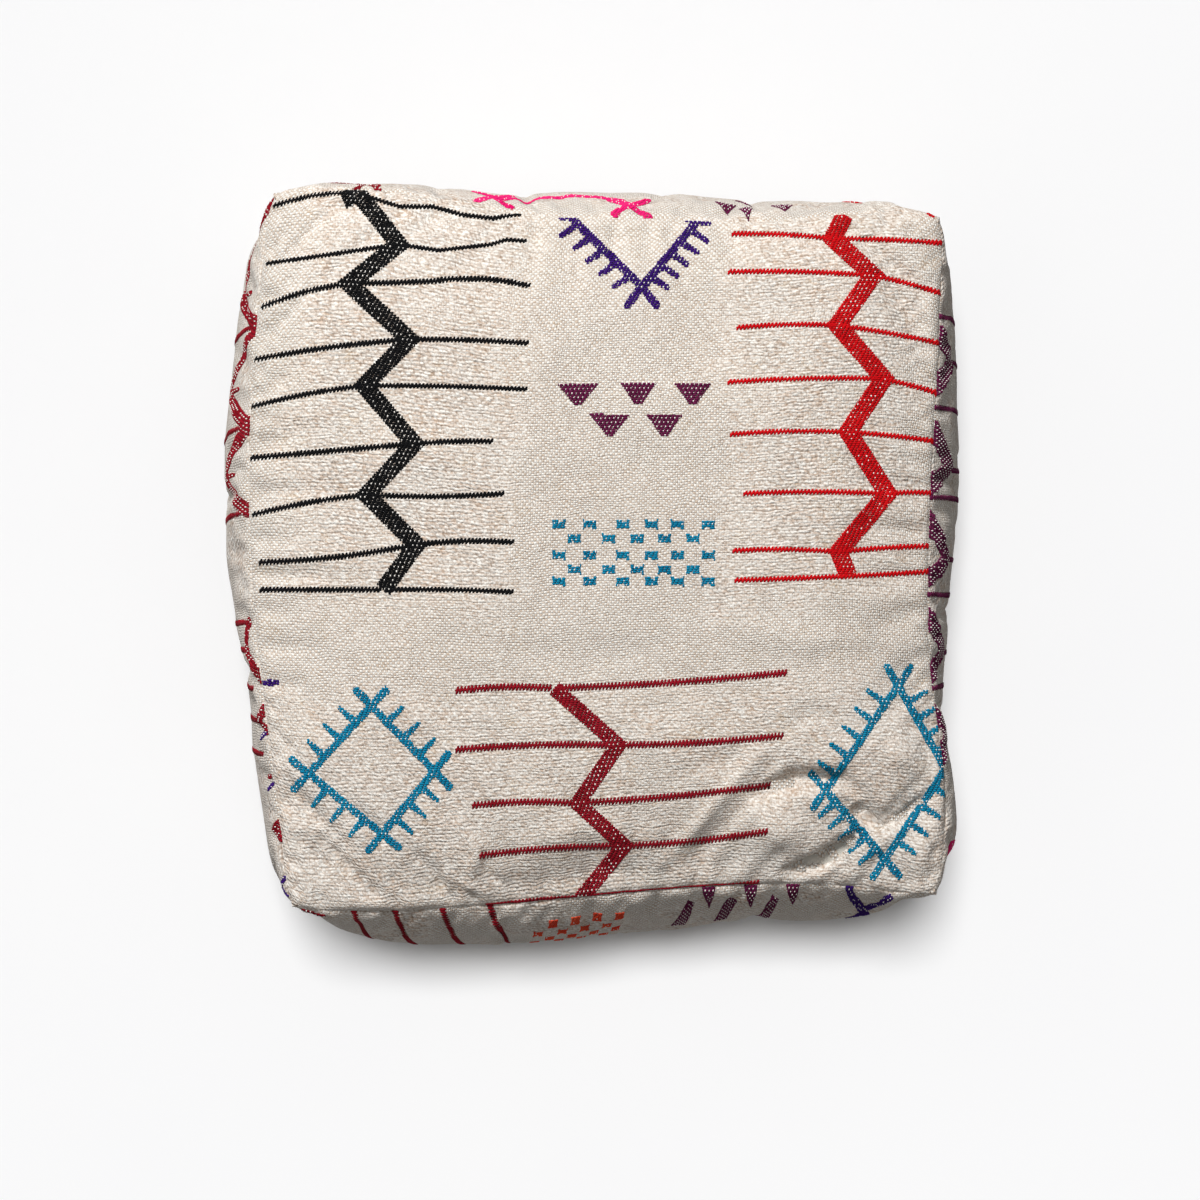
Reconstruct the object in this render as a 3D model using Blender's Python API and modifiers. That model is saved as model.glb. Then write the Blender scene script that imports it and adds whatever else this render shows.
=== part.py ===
"""Square floor cushion: a woven boxed cover that zips open underneath, with a stuffed insert inside.

Metres, +Z up. The origin is on the floor, under the middle of the cushion. The front side is at -Y.
"""

import math

import bmesh
import bpy

# The cover's seams, and how far the stuffing pushes the cloth past them.
SEAM_WIDTH = 0.580  # between the left and right top seams
SEAM_DEPTH = 0.580  # between the front and back top seams
BOTTOM_SEAM_Z = 0.016
SIDE_HEIGHT = 0.176  # straight up from the bottom seam to the top seam
SIDE_BULGE = 0.034
TOP_CROWN = 0.030
BOTTOM_ROLL = 0.045  # from the bottom seam inwards to where the cloth lies on the floor

# Cloth thicknesses and how the pieces are sewn.
KILIM = 0.0028  # woven wool and cotton of the top and the sides
CANVAS = 0.0014  # plain cotton of the bottom
CALICO = 0.0010  # thin cotton of the insert
ALLOWANCE = 0.010  # cloth turned in behind each of the cover's seams
GAP = 0.0003  # between pieces that touch

# The zip across the bottom.
ZIP_MARGIN = 0.072  # from each side seam to the zip's end
TAPE_WIDTH = 0.014
TAPE = 0.0005
TAPE_TAIL = 0.008  # tape past each end of the coil
COIL_WIDTH = 0.0026
COIL = 0.0022
COIL_SPACING = 0.0010  # between the two coils, where the slider's web runs
STOP_LENGTH = 0.003
SLOT_MARGIN = 0.0005  # between the slider and the hems beside it
SLOT_CLOSING = 0.008  # length over which the hems close up past the zip
VALLEY_HALF = 0.045  # from the middle to where the fold over the zip reaches the floor

# The slider and its pull tab.
SLIDER_LENGTH = 0.011
SLIDER_PLATE = 0.0012
SLIDER_WALL = 0.0012
SLIDER_FLARE = 0.0009  # the opening end is this much wider on each side
RUNNING_GAP = 0.0003
WEB = 0.0004
WEB_LENGTH = 0.003
BRIDGE_WIDTH = 0.0024
BRIDGE_BAR = 0.0008
BRIDGE_POST = 0.0012
BRIDGE_OPENING = 0.0030
PIN_RADIUS = 0.0005
PIN_CLEARANCE = 0.0004  # all round the pin, under the slider and inside its bridge
FLOOR_CLEARANCE = 0.0008  # under the bridge
TAB_LENGTH = 0.028
TAB_ARM = 0.0017  # width of each arm beside the bridge
TAB = 0.0012
TAB_HOLE_RADIUS = 0.0012
TAB_ROUNDING = 0.0004

# The insert.
INSERT_CLEARANCE = 0.014  # from the cover's seams inwards to the insert's
INSERT_DROP = 0.0010  # between the cover's top and the insert's
INSERT_BULGE = 0.040
ZIP_CLEARANCE = 0.0008  # between the slider's top and the insert
INSERT_VALLEY_MARGIN = 0.010  # by which the insert's fold is wider than the cover's
FILLING_INSET = 0.005  # from the insert's seams inwards to its filling's edges

# How finely the soft surfaces are divided.
TOP_CELLS = 14
SIDE_CELLS = 12
SIDE_ROWS = 4
INSERT_CELLS = 15
INSERT_ROWS = 6

HALF_X = SEAM_WIDTH / 2
HALF_Y = SEAM_DEPTH / 2
TOP_SEAM_Z = BOTTOM_SEAM_Z + SIDE_HEIGHT
SEWN_IN = KILIM + 2 * GAP  # how far a piece sewn inside a side panel lies from the seam

# Heights of the zip's layers, from the floor up.
BRIDGE_TOP = FLOOR_CLEARANCE + BRIDGE_BAR
PIN_Z = BRIDGE_TOP + PIN_CLEARANCE + PIN_RADIUS
PLATE_LOW = PIN_Z + PIN_RADIUS + PIN_CLEARANCE
PLATE_HIGH = PLATE_LOW + SLIDER_PLATE
COIL_LOW = PLATE_HIGH + RUNNING_GAP
COIL_HIGH = COIL_LOW + COIL
TAPE_LOW = COIL_HIGH + GAP
TAPE_HIGH = TAPE_LOW + TAPE
SLIDER_TOP = TAPE_HIGH + RUNNING_GAP + SLIDER_PLATE
HEM = 2 * CANVAS + GAP  # thickness of a folded hem
HEM_LOW = TAPE_LOW - GAP - HEM

# Places along and across the zip. Its closed end is at +X.
ZIP_END = HALF_X - ZIP_MARGIN
STOP_END = ZIP_END + GAP + STOP_LENGTH
COIL_INNER = COIL_SPACING / 2
COIL_OUTER = COIL_INNER + COIL_WIDTH
CHANNEL = COIL_OUTER + RUNNING_GAP
SLIDER_HALF = CHANNEL + SLIDER_WALL
SLOT_HALF = SLIDER_HALF + SLIDER_FLARE + SLOT_MARGIN
SLIDER_X = ZIP_END - GAP - SLIDER_LENGTH / 2
BRIDGE_HALF = BRIDGE_OPENING / 2 + BRIDGE_POST

# The insert's own seams.
INSERT_HALF_X = HALF_X - INSERT_CLEARANCE
INSERT_HALF_Y = HALF_Y - INSERT_CLEARANCE
INSERT_TOP_Z = TOP_SEAM_Z - KILIM - INSERT_DROP
INSERT_BOTTOM_Z = BOTTOM_SEAM_Z + CANVAS + GAP
INSERT_ZIP_Z = SLIDER_TOP + ZIP_CLEARANCE
LINING = 1.4 * CALICO + GAP  # straight up from the insert's outer side to its filling


def material(name, colour, roughness, metallic=0.0):
    """A Principled material of one colour."""
    made = bpy.data.materials.new(name)
    made.use_nodes = True
    shader = made.node_tree.nodes["Principled BSDF"]
    shader.inputs["Base Color"].default_value = (*colour, 1.0)
    shader.inputs["Roughness"].default_value = roughness
    shader.inputs["Metallic"].default_value = metallic
    return made


def stations(ends, cells):
    """Evenly spaced places through each stretch between the ends, with that many cells in each."""
    found = [ends[0]]
    for start, stop, count in zip(ends, ends[1:], cells):
        found += [start + (stop - start) * (i + 1) / count for i in range(count)]
    return found


def grid(across, along, surface):
    """A bmesh grid whose points are surface(a, b) for the places in across and along."""
    mesh = bmesh.new()
    nx, ny = len(across) - 1, len(along) - 1
    bmesh.ops.create_grid(mesh, x_segments=nx, y_segments=ny, size=1.0)
    for vertex in mesh.verts:
        i = round((vertex.co.x + 1) / 2 * nx)
        j = round((vertex.co.y + 1) / 2 * ny)
        vertex.co = surface(across[i], along[j])
    return mesh


def border(mesh, keep):
    """The open edges whose two ends both satisfy keep."""
    return [e for e in mesh.edges if e.is_boundary and all(keep(v.co) for v in e.verts)]


def turn(mesh, edges, step):
    """Carries the cloth on from these edges by one step, and returns the new outer edges."""
    made = bmesh.ops.extrude_edge_only(mesh, edges=edges)["geom"]
    points = [item for item in made if isinstance(item, bmesh.types.BMVert)]
    bmesh.ops.translate(mesh, verts=points, vec=step)
    return [e for e in made if isinstance(e, bmesh.types.BMEdge)]


def split(mesh):
    """Splits every face along its shorter diagonal, so that cloths which lie on each other are
    folded the same way."""
    bmesh.ops.triangulate(mesh, faces=mesh.faces, quad_method="SHORT_EDGE")


def add_object(collection, name, mesh, look, origin=(0, 0, 0)):
    """A new object that holds this bmesh, which is in the object's own coordinates."""
    data = bpy.data.meshes.new(name)
    mesh.to_mesh(data)
    mesh.free()
    data.materials.append(look)
    data.shade_smooth()
    data.set_sharp_from_angle(angle=math.radians(40))
    made = bpy.data.objects.new(name, data)
    made.location = origin
    collection.objects.link(made)
    return made


def cloth(collection, name, mesh, thickness, look, degrees=0):
    """An open surface made into cloth whose outer side is that surface, turned round Z."""
    made = add_object(collection, name, mesh, look)
    made.rotation_euler.z = math.radians(degrees)
    solid = made.modifiers.new("Thickness", "SOLIDIFY")
    solid.thickness = thickness
    solid.offset = -1
    solid.use_even_offset = True
    return made


def swell(share):
    """1 in the middle and 0 at the seams, for a place from -1 to 1 between them."""
    return max(0.0, 1 - abs(share) ** 3)


def arch(share):
    """The rounded profile of a side, for a place from 0 to 1 up it."""
    return 4 * share * (1 - share)


def smooth_fall(distance, flat, end):
    """1 up to flat, 0 from end on, and an S curve between them."""
    t = min(1.0, max(0.0, (distance - flat) / (end - flat)))
    return 1 - t * t * (3 - 2 * t)


def crowned(x, y, half_x, half_y, seam_z):
    """The height of a top's outer side."""
    return seam_z + TOP_CROWN * swell(x / half_x) * swell(y / half_y)


def resting(x, y, half_x, half_y, heights, valley):
    """The height of a bottom's outer side: on the floor, rising to the seams and over the zip.
    heights are those at the seam, on the floor and at the zip, and valley the fold's two limits."""
    seam_z, floor_z, zip_z = heights
    to_seam = max(0.0, min(half_x - abs(x), half_y - abs(y)))
    roll = max(0.0, 1 - to_seam / BOTTOM_ROLL) ** 2
    fold = smooth_fall(abs(y), *valley)
    return floor_z + (seam_z - floor_z) * roll + (zip_z - floor_z) * fold * (1 - roll)


def top_panel(collection, look):
    """The top, with its edges turned down inside the side panels."""
    half_x, half_y = HALF_X - SEWN_IN, HALF_Y - SEWN_IN
    mesh = grid(
        stations((-half_x, half_x), (TOP_CELLS,)),
        stations((-half_y, half_y), (TOP_CELLS,)),
        lambda x, y: (x, y, crowned(x, y, half_x, half_y, TOP_SEAM_Z)),
    )
    turn(mesh, border(mesh, lambda co: True), (0, 0, -ALLOWANCE))
    cloth(collection, "top_panel", mesh, KILIM, look)


def side_panel(collection, name, half_length, seam_half, offset, degrees, look):
    """One bulging side, drawn as the front one and turned round Z. It swells along a seam of
    2 * seam_half that lies offset from the middle. A panel shorter than that is sewn in between
    its neighbours, with its ends turned in behind them."""
    low = BOTTOM_SEAM_Z + ALLOWANCE + GAP
    high = TOP_SEAM_Z - ALLOWANCE - GAP

    def surface(x, z):
        up = (z - BOTTOM_SEAM_Z) / SIDE_HEIGHT
        return x, -offset - SIDE_BULGE * swell(x / seam_half) * arch(up), z

    mesh = grid(
        stations((-half_length, half_length), (SIDE_CELLS,)),
        stations((BOTTOM_SEAM_Z, low, high, TOP_SEAM_Z), (1, SIDE_ROWS, 1)),
        surface,
    )
    if half_length < seam_half:
        ends = border(
            mesh,
            lambda co: abs(co.x) > half_length - GAP and low - GAP < co.z < high + GAP,
        )
        turn(mesh, ends, (0, ALLOWANCE, 0))
    cloth(collection, name, mesh, KILIM, look, degrees)


def side_panels(collection, look):
    """Front and back run the full width, and left and right are sewn in between them."""
    inner_y = HALF_Y - SEWN_IN
    side_panel(collection, "front_side_panel", HALF_X, HALF_X, HALF_Y, 0, look)
    side_panel(collection, "right_side_panel", inner_y, HALF_Y, HALF_X, 90, look)
    side_panel(collection, "back_side_panel", HALF_X, HALF_X, HALF_Y, 180, look)
    side_panel(collection, "left_side_panel", inner_y, HALF_Y, HALF_X, 270, look)


def bottom_panel(collection, name, degrees, look):
    """Half of the bottom, drawn as the front one: turned up inside the sides, and hemmed along
    the zip, past whose ends the two hems meet."""
    half_x, half_y = HALF_X - SEWN_IN, HALF_Y - SEWN_IN
    slot_end = STOP_END + SLOT_CLOSING
    hem_end = half_x - ALLOWANCE - GAP
    valley = (SLOT_HALF + ALLOWANCE, VALLEY_HALF)
    heights = (BOTTOM_SEAM_Z, 0.0, HEM_LOW)

    def surface(x, y):
        opened = GAP / 2 + (SLOT_HALF - GAP / 2) * smooth_fall(abs(x), STOP_END, slot_end)
        pushed = y - opened * max(0.0, 1 + y / VALLEY_HALF)
        return x, pushed, resting(x, y, half_x, half_y, heights, valley)

    mesh = grid(
        stations(
            (-half_x, -hem_end, -slot_end, -STOP_END, STOP_END, slot_end, hem_end, half_x),
            (1, 3, 2, 4, 2, 3, 1),
        ),
        stations((-half_y, BOTTOM_ROLL - half_y, -VALLEY_HALF, 0.0), (3, 2, 5)),
        surface,
    )
    bmesh.ops.reverse_faces(mesh, faces=mesh.faces)
    sewn = border(mesh, lambda co: abs(co.x) > half_x - GAP or co.y < GAP - half_y)
    hem = border(mesh, lambda co: co.y > -SLOT_HALF - GAP and abs(co.x) < hem_end + GAP)
    turn(mesh, sewn, (0, 0, ALLOWANCE))
    turn(mesh, turn(mesh, hem, (0, 0, HEM)), (0, -ALLOWANCE, 0))
    cloth(collection, name, mesh, CANVAS, look, degrees)


def block(collection, name, low, high, look, origin=(0, 0, 0), flare=0.0):
    """A box between two corners, whose object sits at origin. Its +X end is wider by flare."""
    mesh = bmesh.new()
    bmesh.ops.create_cube(mesh, size=1.0)
    for vertex in mesh.verts:
        wider = flare * math.copysign(1, vertex.co.y) if vertex.co.x > 0 else 0.0
        spot = [
            a + (b - a) * (share + 0.5) - o
            for a, b, share, o in zip(low, high, vertex.co, origin)
        ]
        vertex.co = (spot[0], spot[1] + wider, spot[2])
    return add_object(collection, name, mesh, look, origin)


def cylinder_across(collection, name, centre, radius, length, look):
    """A cylinder along Y round centre."""
    mesh = bmesh.new()
    bmesh.ops.create_cone(
        mesh, cap_ends=True, segments=16, radius1=radius, radius2=radius, depth=length
    )
    made = add_object(collection, name, mesh, look, centre)
    made.rotation_euler.x = math.radians(90)
    return made


def combine(piece, helper, operation):
    """Joins a helper to a piece, or cuts it away, and hides the helper."""
    step = piece.modifiers.new(helper.name, "BOOLEAN")
    step.operation = operation
    step.object = helper
    helper.hide_render = True
    helper.display_type = "WIRE"


def soften(piece, width):
    """Rounds a piece's sharp edges."""
    bevel = piece.modifiers.new("Rounding", "BEVEL")
    bevel.width = width
    bevel.segments = 2
    bevel.limit_method = "ANGLE"


def zip_chain(collection, tape_look, coil_look, metal):
    """The two tapes with their coils, and the stops at both ends."""
    for side, y_sign in (("front", -1), ("rear", 1)):
        tape = sorted((y_sign * COIL_INNER, y_sign * (COIL_INNER + TAPE_WIDTH)))
        coil = sorted((y_sign * COIL_INNER, y_sign * COIL_OUTER))
        tape_end = STOP_END + TAPE_TAIL
        block(
            collection,
            f"zip_tape_{side}",
            (-tape_end, tape[0], TAPE_LOW),
            (tape_end, tape[1], TAPE_HIGH),
            tape_look,
        )
        strip = block(
            collection,
            f"zip_coil_{side}",
            (-ZIP_END, coil[0], COIL_LOW),
            (ZIP_END, coil[1], COIL_HIGH),
            coil_look,
        )
        soften(strip, COIL / 4)
        stop = block(
            collection,
            f"zip_top_stop_{side}",
            (ZIP_END + GAP, coil[0], COIL_LOW),
            (STOP_END, coil[1], COIL_HIGH),
            metal,
        )
        soften(stop, COIL / 6)
    end_stop = block(
        collection,
        "zip_end_stop",
        (-STOP_END, -COIL_OUTER, COIL_LOW),
        (-ZIP_END - GAP, COIL_OUTER, COIL_HIGH),
        metal,
    )
    soften(end_stop, COIL / 6)


def zip_slider(collection, helpers, metal):
    """The slider: two plates joined by a web, walls beside the coils, and a bridge for the tab."""
    rear, front = SLIDER_X - SLIDER_LENGTH / 2, SLIDER_X + SLIDER_LENGTH / 2
    origin = (SLIDER_X, 0, PLATE_LOW)
    into = SLIDER_PLATE / 2  # how far joined shapes overlap
    body = block(
        collection,
        "zip_slider",
        (rear, -SLIDER_HALF, PLATE_LOW),
        (front, SLIDER_HALF, COIL_HIGH),
        metal,
        origin,
        SLIDER_FLARE,
    )
    channel = block(
        helpers,
        "slider_channel",
        (rear - SLIDER_LENGTH, -CHANNEL, PLATE_HIGH),
        (front + SLIDER_LENGTH, CHANNEL, COIL_HIGH + COIL),
        metal,
    )
    upper = block(
        helpers,
        "slider_upper_plate",
        (rear, -SLIDER_HALF, SLIDER_TOP - SLIDER_PLATE),
        (front, SLIDER_HALF, SLIDER_TOP),
        metal,
        origin,
        SLIDER_FLARE,
    )
    web = block(
        helpers,
        "slider_web",
        (front - WEB_LENGTH, -WEB / 2, PLATE_HIGH - into),
        (front - GAP, WEB / 2, SLIDER_TOP - into),
        metal,
    )
    bridge = block(
        helpers,
        "slider_bridge",
        (SLIDER_X - BRIDGE_HALF, -BRIDGE_WIDTH / 2, FLOOR_CLEARANCE),
        (SLIDER_X + BRIDGE_HALF, BRIDGE_WIDTH / 2, PLATE_LOW + into),
        metal,
    )
    opening = block(
        helpers,
        "bridge_opening",
        (SLIDER_X - BRIDGE_OPENING / 2, -BRIDGE_WIDTH, BRIDGE_TOP),
        (SLIDER_X + BRIDGE_OPENING / 2, BRIDGE_WIDTH, PLATE_LOW),
        metal,
    )
    combine(body, channel, "DIFFERENCE")
    for shape in (upper, web, bridge):
        combine(body, shape, "UNION")
    combine(body, opening, "DIFFERENCE")


def zip_pull_tab(collection, helpers, metal):
    """The pull tab: its pin turns in the slider's bridge, and it lies towards -X, over the zip."""
    half_width = BRIDGE_WIDTH / 2 + RUNNING_GAP + TAB_ARM
    reach = math.hypot(BRIDGE_HALF, PIN_Z - FLOOR_CLEARANCE) + RUNNING_GAP
    pin_spot = (SLIDER_X, 0, PIN_Z)
    tab = block(
        collection,
        "zip_pull_tab",
        (SLIDER_X - TAB_LENGTH, -half_width, PIN_Z - TAB / 2),
        (SLIDER_X + PIN_RADIUS, half_width, PIN_Z + TAB / 2),
        metal,
        pin_spot,
    )
    soften(tab, TAB_ROUNDING)
    window = block(
        helpers,
        "tab_window",
        (SLIDER_X - reach, TAB_ARM - half_width, PIN_Z - TAB),
        (SLIDER_X + reach, half_width - TAB_ARM, PIN_Z + TAB),
        metal,
    )
    pin = cylinder_across(
        helpers, "tab_pin", pin_spot, PIN_RADIUS, 2 * half_width - TAB_ARM, metal
    )
    hole_x = SLIDER_X - TAB_LENGTH + 3 * TAB_HOLE_RADIUS
    hole = cylinder_across(
        helpers, "tab_hole", (hole_x, 0, PIN_Z), TAB_HOLE_RADIUS, 4 * TAB, metal
    )
    hole.rotation_euler.x = 0
    combine(tab, window, "DIFFERENCE")
    combine(tab, pin, "UNION")
    combine(tab, hole, "DIFFERENCE")


def insert_valley():
    """The two limits of the insert's fold over the zip."""
    flat = SLOT_HALF + ALLOWANCE + INSERT_VALLEY_MARGIN / 4
    return flat, VALLEY_HALF + INSERT_VALLEY_MARGIN


def insert_bottom(x, y, half_x, half_y, inside):
    """The height of the insert's bottom, or of a surface that far above it."""
    seam_z, floor_z, zip_z = (
        height + inside for height in (INSERT_BOTTOM_Z, CANVAS + GAP, INSERT_ZIP_Z)
    )
    return resting(x, y, half_x, half_y, (seam_z, floor_z, zip_z), insert_valley())


def insert_band(collection, look):
    """The strip round the insert's four sides, closed on itself."""

    def surface(place, z):
        side = min(3, int(place))
        share = 2 * (place - side) - 1
        length, offset = (
            (INSERT_HALF_X, INSERT_HALF_Y) if side % 2 == 0 else (INSERT_HALF_Y, INSERT_HALF_X)
        )
        up = (z - INSERT_BOTTOM_Z) / (INSERT_TOP_Z - INSERT_BOTTOM_Z)
        x, y = share * length, -offset - INSERT_BULGE * swell(share) * arch(up)
        angle = side * math.pi / 2
        return (
            x * math.cos(angle) - y * math.sin(angle),
            x * math.sin(angle) + y * math.cos(angle),
            z,
        )

    mesh = grid(
        stations((0, 4), (4 * INSERT_CELLS,)),
        stations((INSERT_BOTTOM_Z, INSERT_TOP_Z), (INSERT_ROWS,)),
        surface,
    )
    bmesh.ops.remove_doubles(mesh, verts=mesh.verts, dist=GAP / 10)
    cloth(collection, "insert_band", mesh, CALICO, look)


def insert_stations(half_x, half_y):
    """Places along X and along Y that follow the insert's roll at the seams and its fold over
    the zip, INSERT_CELLS cells each way."""
    roll_x, roll_y = half_x - BOTTOM_ROLL, half_y - BOTTOM_ROLL
    flat, fold = insert_valley()
    across = stations((-half_x, -roll_x, roll_x, half_x), (3, INSERT_CELLS - 6, 3))
    ends = (-half_y, -roll_y, -fold, -flat, flat, fold, roll_y, half_y)
    return across, stations(ends, (3, 2, 2, INSERT_CELLS - 14, 2, 2, 3))


def insert_panels(collection, look):
    """The insert's top and bottom, sewn inside its band."""
    half_x = INSERT_HALF_X - CALICO - GAP
    half_y = INSERT_HALF_Y - CALICO - GAP
    across, along = insert_stations(half_x, half_y)
    top = grid(
        across, along, lambda x, y: (x, y, crowned(x, y, half_x, half_y, INSERT_TOP_Z))
    )
    bottom = grid(across, along, lambda x, y: (x, y, insert_bottom(x, y, half_x, half_y, 0.0)))
    bmesh.ops.reverse_faces(bottom, faces=bottom.faces)
    split(top)
    split(bottom)
    cloth(collection, "insert_top_panel", top, CALICO, look)
    cloth(collection, "insert_bottom_panel", bottom, CALICO, look)


def insert_filling(collection, look):
    """The stuffing, which fills the insert."""
    half_x = INSERT_HALF_X - FILLING_INSET
    half_y = INSERT_HALF_Y - FILLING_INSET
    across, along = insert_stations(half_x, half_y)
    mesh = bmesh.new()
    bmesh.ops.create_cube(mesh, size=2.0)
    bmesh.ops.subdivide_edges(mesh, edges=mesh.edges, cuts=INSERT_CELLS - 1, use_grid_fill=True)
    for vertex in mesh.verts:
        i, j = (round((share + 1) / 2 * INSERT_CELLS) for share in vertex.co[:2])
        x, y = across[i], along[j]
        up = (vertex.co.z + 1) / 2
        low = insert_bottom(x, y, half_x, half_y, LINING)
        high = crowned(x, y, half_x, half_y, INSERT_TOP_Z - LINING)
        push = INSERT_BULGE * arch(up)
        vertex.co = (
            x + x / half_x * push * swell(y / half_y),
            y + y / half_y * push * swell(x / half_x),
            low + (high - low) * up,
        )
    split(mesh)
    add_object(collection, "insert_filling", mesh, look)


def main():
    for old in list(bpy.data.objects):
        bpy.data.objects.remove(old)
    cushion = bpy.data.collections.new("floor_cushion")
    helpers = bpy.data.collections.new("cutters")
    for group in (cushion, helpers):
        bpy.context.scene.collection.children.link(group)
    kilim = material("kilim", (0.80, 0.72, 0.62), 0.9)
    canvas = material("canvas", (0.74, 0.68, 0.57), 0.9)
    calico = material("calico", (0.83, 0.79, 0.70), 0.9)
    fibre = material("fibre", (0.90, 0.89, 0.86), 0.95)
    tape = material("zip_tape", (0.78, 0.72, 0.62), 0.85)
    nylon = material("zip_coil", (0.80, 0.75, 0.66), 0.45)
    metal = material("zip_metal", (0.62, 0.60, 0.56), 0.35, 1.0)
    top_panel(cushion, kilim)
    side_panels(cushion, kilim)
    bottom_panel(cushion, "bottom_panel_front", 0, canvas)
    bottom_panel(cushion, "bottom_panel_rear", 180, canvas)
    zip_chain(cushion, tape, nylon, metal)
    zip_slider(cushion, helpers, metal)
    zip_pull_tab(cushion, helpers, metal)
    insert_band(cushion, calico)
    insert_panels(cushion, calico)
    insert_filling(cushion, fibre)


main()
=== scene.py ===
"""Looks of the square floor cushion: its woven and embroidered cover, its zip and its stuffed insert.

Metres, +Z up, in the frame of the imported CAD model. The front side is at -Y. The sides' motifs are laid out
in millimetres from the middle of their own cloth, and the top's in the level of its seam, as seen from above.
"""

import math

import bmesh
import bpy
import numpy as np
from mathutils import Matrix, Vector


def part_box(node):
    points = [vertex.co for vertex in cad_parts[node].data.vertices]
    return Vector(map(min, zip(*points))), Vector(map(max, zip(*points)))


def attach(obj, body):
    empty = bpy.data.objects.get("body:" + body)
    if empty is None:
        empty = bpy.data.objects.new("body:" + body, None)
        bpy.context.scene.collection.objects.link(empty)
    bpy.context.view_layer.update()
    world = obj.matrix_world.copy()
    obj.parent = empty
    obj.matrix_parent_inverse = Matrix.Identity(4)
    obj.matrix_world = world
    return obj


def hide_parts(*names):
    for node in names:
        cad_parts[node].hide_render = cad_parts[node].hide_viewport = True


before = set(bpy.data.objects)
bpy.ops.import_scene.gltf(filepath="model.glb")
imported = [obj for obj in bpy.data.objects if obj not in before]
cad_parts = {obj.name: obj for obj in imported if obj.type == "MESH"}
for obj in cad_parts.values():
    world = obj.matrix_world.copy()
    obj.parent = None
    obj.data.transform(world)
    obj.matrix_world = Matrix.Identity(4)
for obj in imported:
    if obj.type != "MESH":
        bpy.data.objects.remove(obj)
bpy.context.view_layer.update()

MM = 0.001

# The cover's seams, read from the CAD panels.
SIDE_LOW, SIDE_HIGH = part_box("front_side_panel")
HALF = SIDE_HIGH[0]
SEAM_Z = SIDE_HIGH[2]
BOTTOM_DROP, BOTTOM_IN = 0.005, 0.008  # how far the stuffed cover sags, and its bottom corners are drawn in
BOTTOM_SEAM_Z = SIDE_LOW[2] - BOTTOM_DROP
BOTTOM_HALF = HALF - BOTTOM_IN
BOTTOM_BOW = 0.010  # how far the middle of a bottom seam lies outside its corners
SIDE_OVER_BULGE = 0.014  # added to a side's height, since it is measured over the bulge
START_CROWN = 0.006  # left for the simulation to raise
CORNER_CUT, CORNER_REACH = 0.0045, 0.010  # how the top's corners are rounded off
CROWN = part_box("top_panel")[1][2] - SEAM_Z
KILIM = 0.0028  # thickness of the woven panels
CANVAS = 0.0014  # thickness of the bottom panels
GAP = 0.0003  # between pieces that touch
BOTTOM_ROLL = 0.045  # from the bottom seams inwards to where the cloth lies on the floor
VALLEY_HALF = 0.045  # from the zip outwards to where its fold reaches the floor
FLOOR_GAP = 0.0002
HEM_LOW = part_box("zip_tape_front")[0][2] - 2 * CANVAS - 2 * GAP

# How the worn cushion has shifted from a true square: its top corners, and how far each top seam bows
# outwards at a few places along it, from the first corner (-1) to the second (1).
CORNERS = {
    "back_left": (-0.274, 0.314),
    "back_right": (0.297, 0.294),
    "front_right": (0.294, -0.287),
    "front_left": (-0.258, -0.297),
}
SEAM_BOWS = {
    "front": ((-1, 0), (-0.7, 0.003), (-0.3, -0.002), (0.1, -0.010), (0.4, -0.014), (0.75, -0.011), (1, 0)),
    "right": ((-1, 0), (-0.72, 0.005), (-0.3, -0.009), (0.2, -0.009), (0.6, -0.003), (1, 0)),
    "back": ((-1, 0), (-0.8, -0.001), (-0.45, -0.012), (-0.1, -0.013), (0.2, -0.014), (0.7, 0.003), (1, 0)),
    "left": ((-1, 0), (-0.6, 0.016), (-0.25, 0.024), (0.1, 0.024), (0.45, 0.016), (0.8, 0.005), (1, 0)),
}
# How far each top seam hangs below the back's.
SEAM_DROPS = {
    "front": ((-1, 0), (-0.6, -0.008), (-0.1, -0.011), (0.45, -0.008), (1, 0)),
    "right": ((-1, 0), (0, -0.003), (1, 0)),
    "back": ((-1, 0), (0, -0.001), (1, 0)),
    "left": ((-1, 0), (0, -0.003), (1, 0)),
}
# How far the stuffing pushes each side out at mid height, along it in the same way.
SIDE_BULGES = {
    "front": (
        (-1, 0.010), (-0.7, 0.032), (-0.3, 0.037), (0.1, 0.033), (0.45, 0.026), (0.8, 0.024), (1, 0.010),
    ),
    "right": (
        (-1, 0.008), (-0.86, 0.016), (-0.6, 0.000), (-0.2, 0.014), (0.15, 0.022), (0.6, 0.018), (1, 0.010),
    ),
    "back": (
        (-1, 0.008), (-0.6, 0.018), (-0.2, 0.022), (0.2, 0.024), (0.45, 0.020), (0.75, 0.014), (1, 0.010),
    ),
    "left": (
        (-1, 0.008), (-0.6, 0.018), (-0.2, 0.022), (0.1, 0.019), (0.35, 0.010), (0.7, 0.004), (1, 0.004),
    ),
}
SIDES = {  # each side's first and second corner, anticlockwise from above
    "front": ("front_left", "front_right"),
    "right": ("front_right", "back_right"),
    "back": ("back_right", "back_left"),
    "left": ("back_left", "front_left"),
}

# The simulation.
CELLS = 60  # along each seam
SIDE_ROWS = 18
PRESSURE = 4.0
SIM_FRAMES = 20
SIM_CAP = 0.010  # how far the stuffing may move the cloth
SAG = 0.84  # under 1, the sides are fullest below their middles
SIM_SHRINK = -0.02  # the cloth is cut a little larger than the stuffing

# The fine surfaces.
TOP_STEPS = 276
SIDE_STEPS = 276
SIDE_UP_STEPS = 88
INNER_EVERY = 6  # the inside of a panel is this much coarser than its face
SEAM_ROWS = (0.0, 0.0008, 0.0017)  # extra rows of points beside each seam

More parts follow.
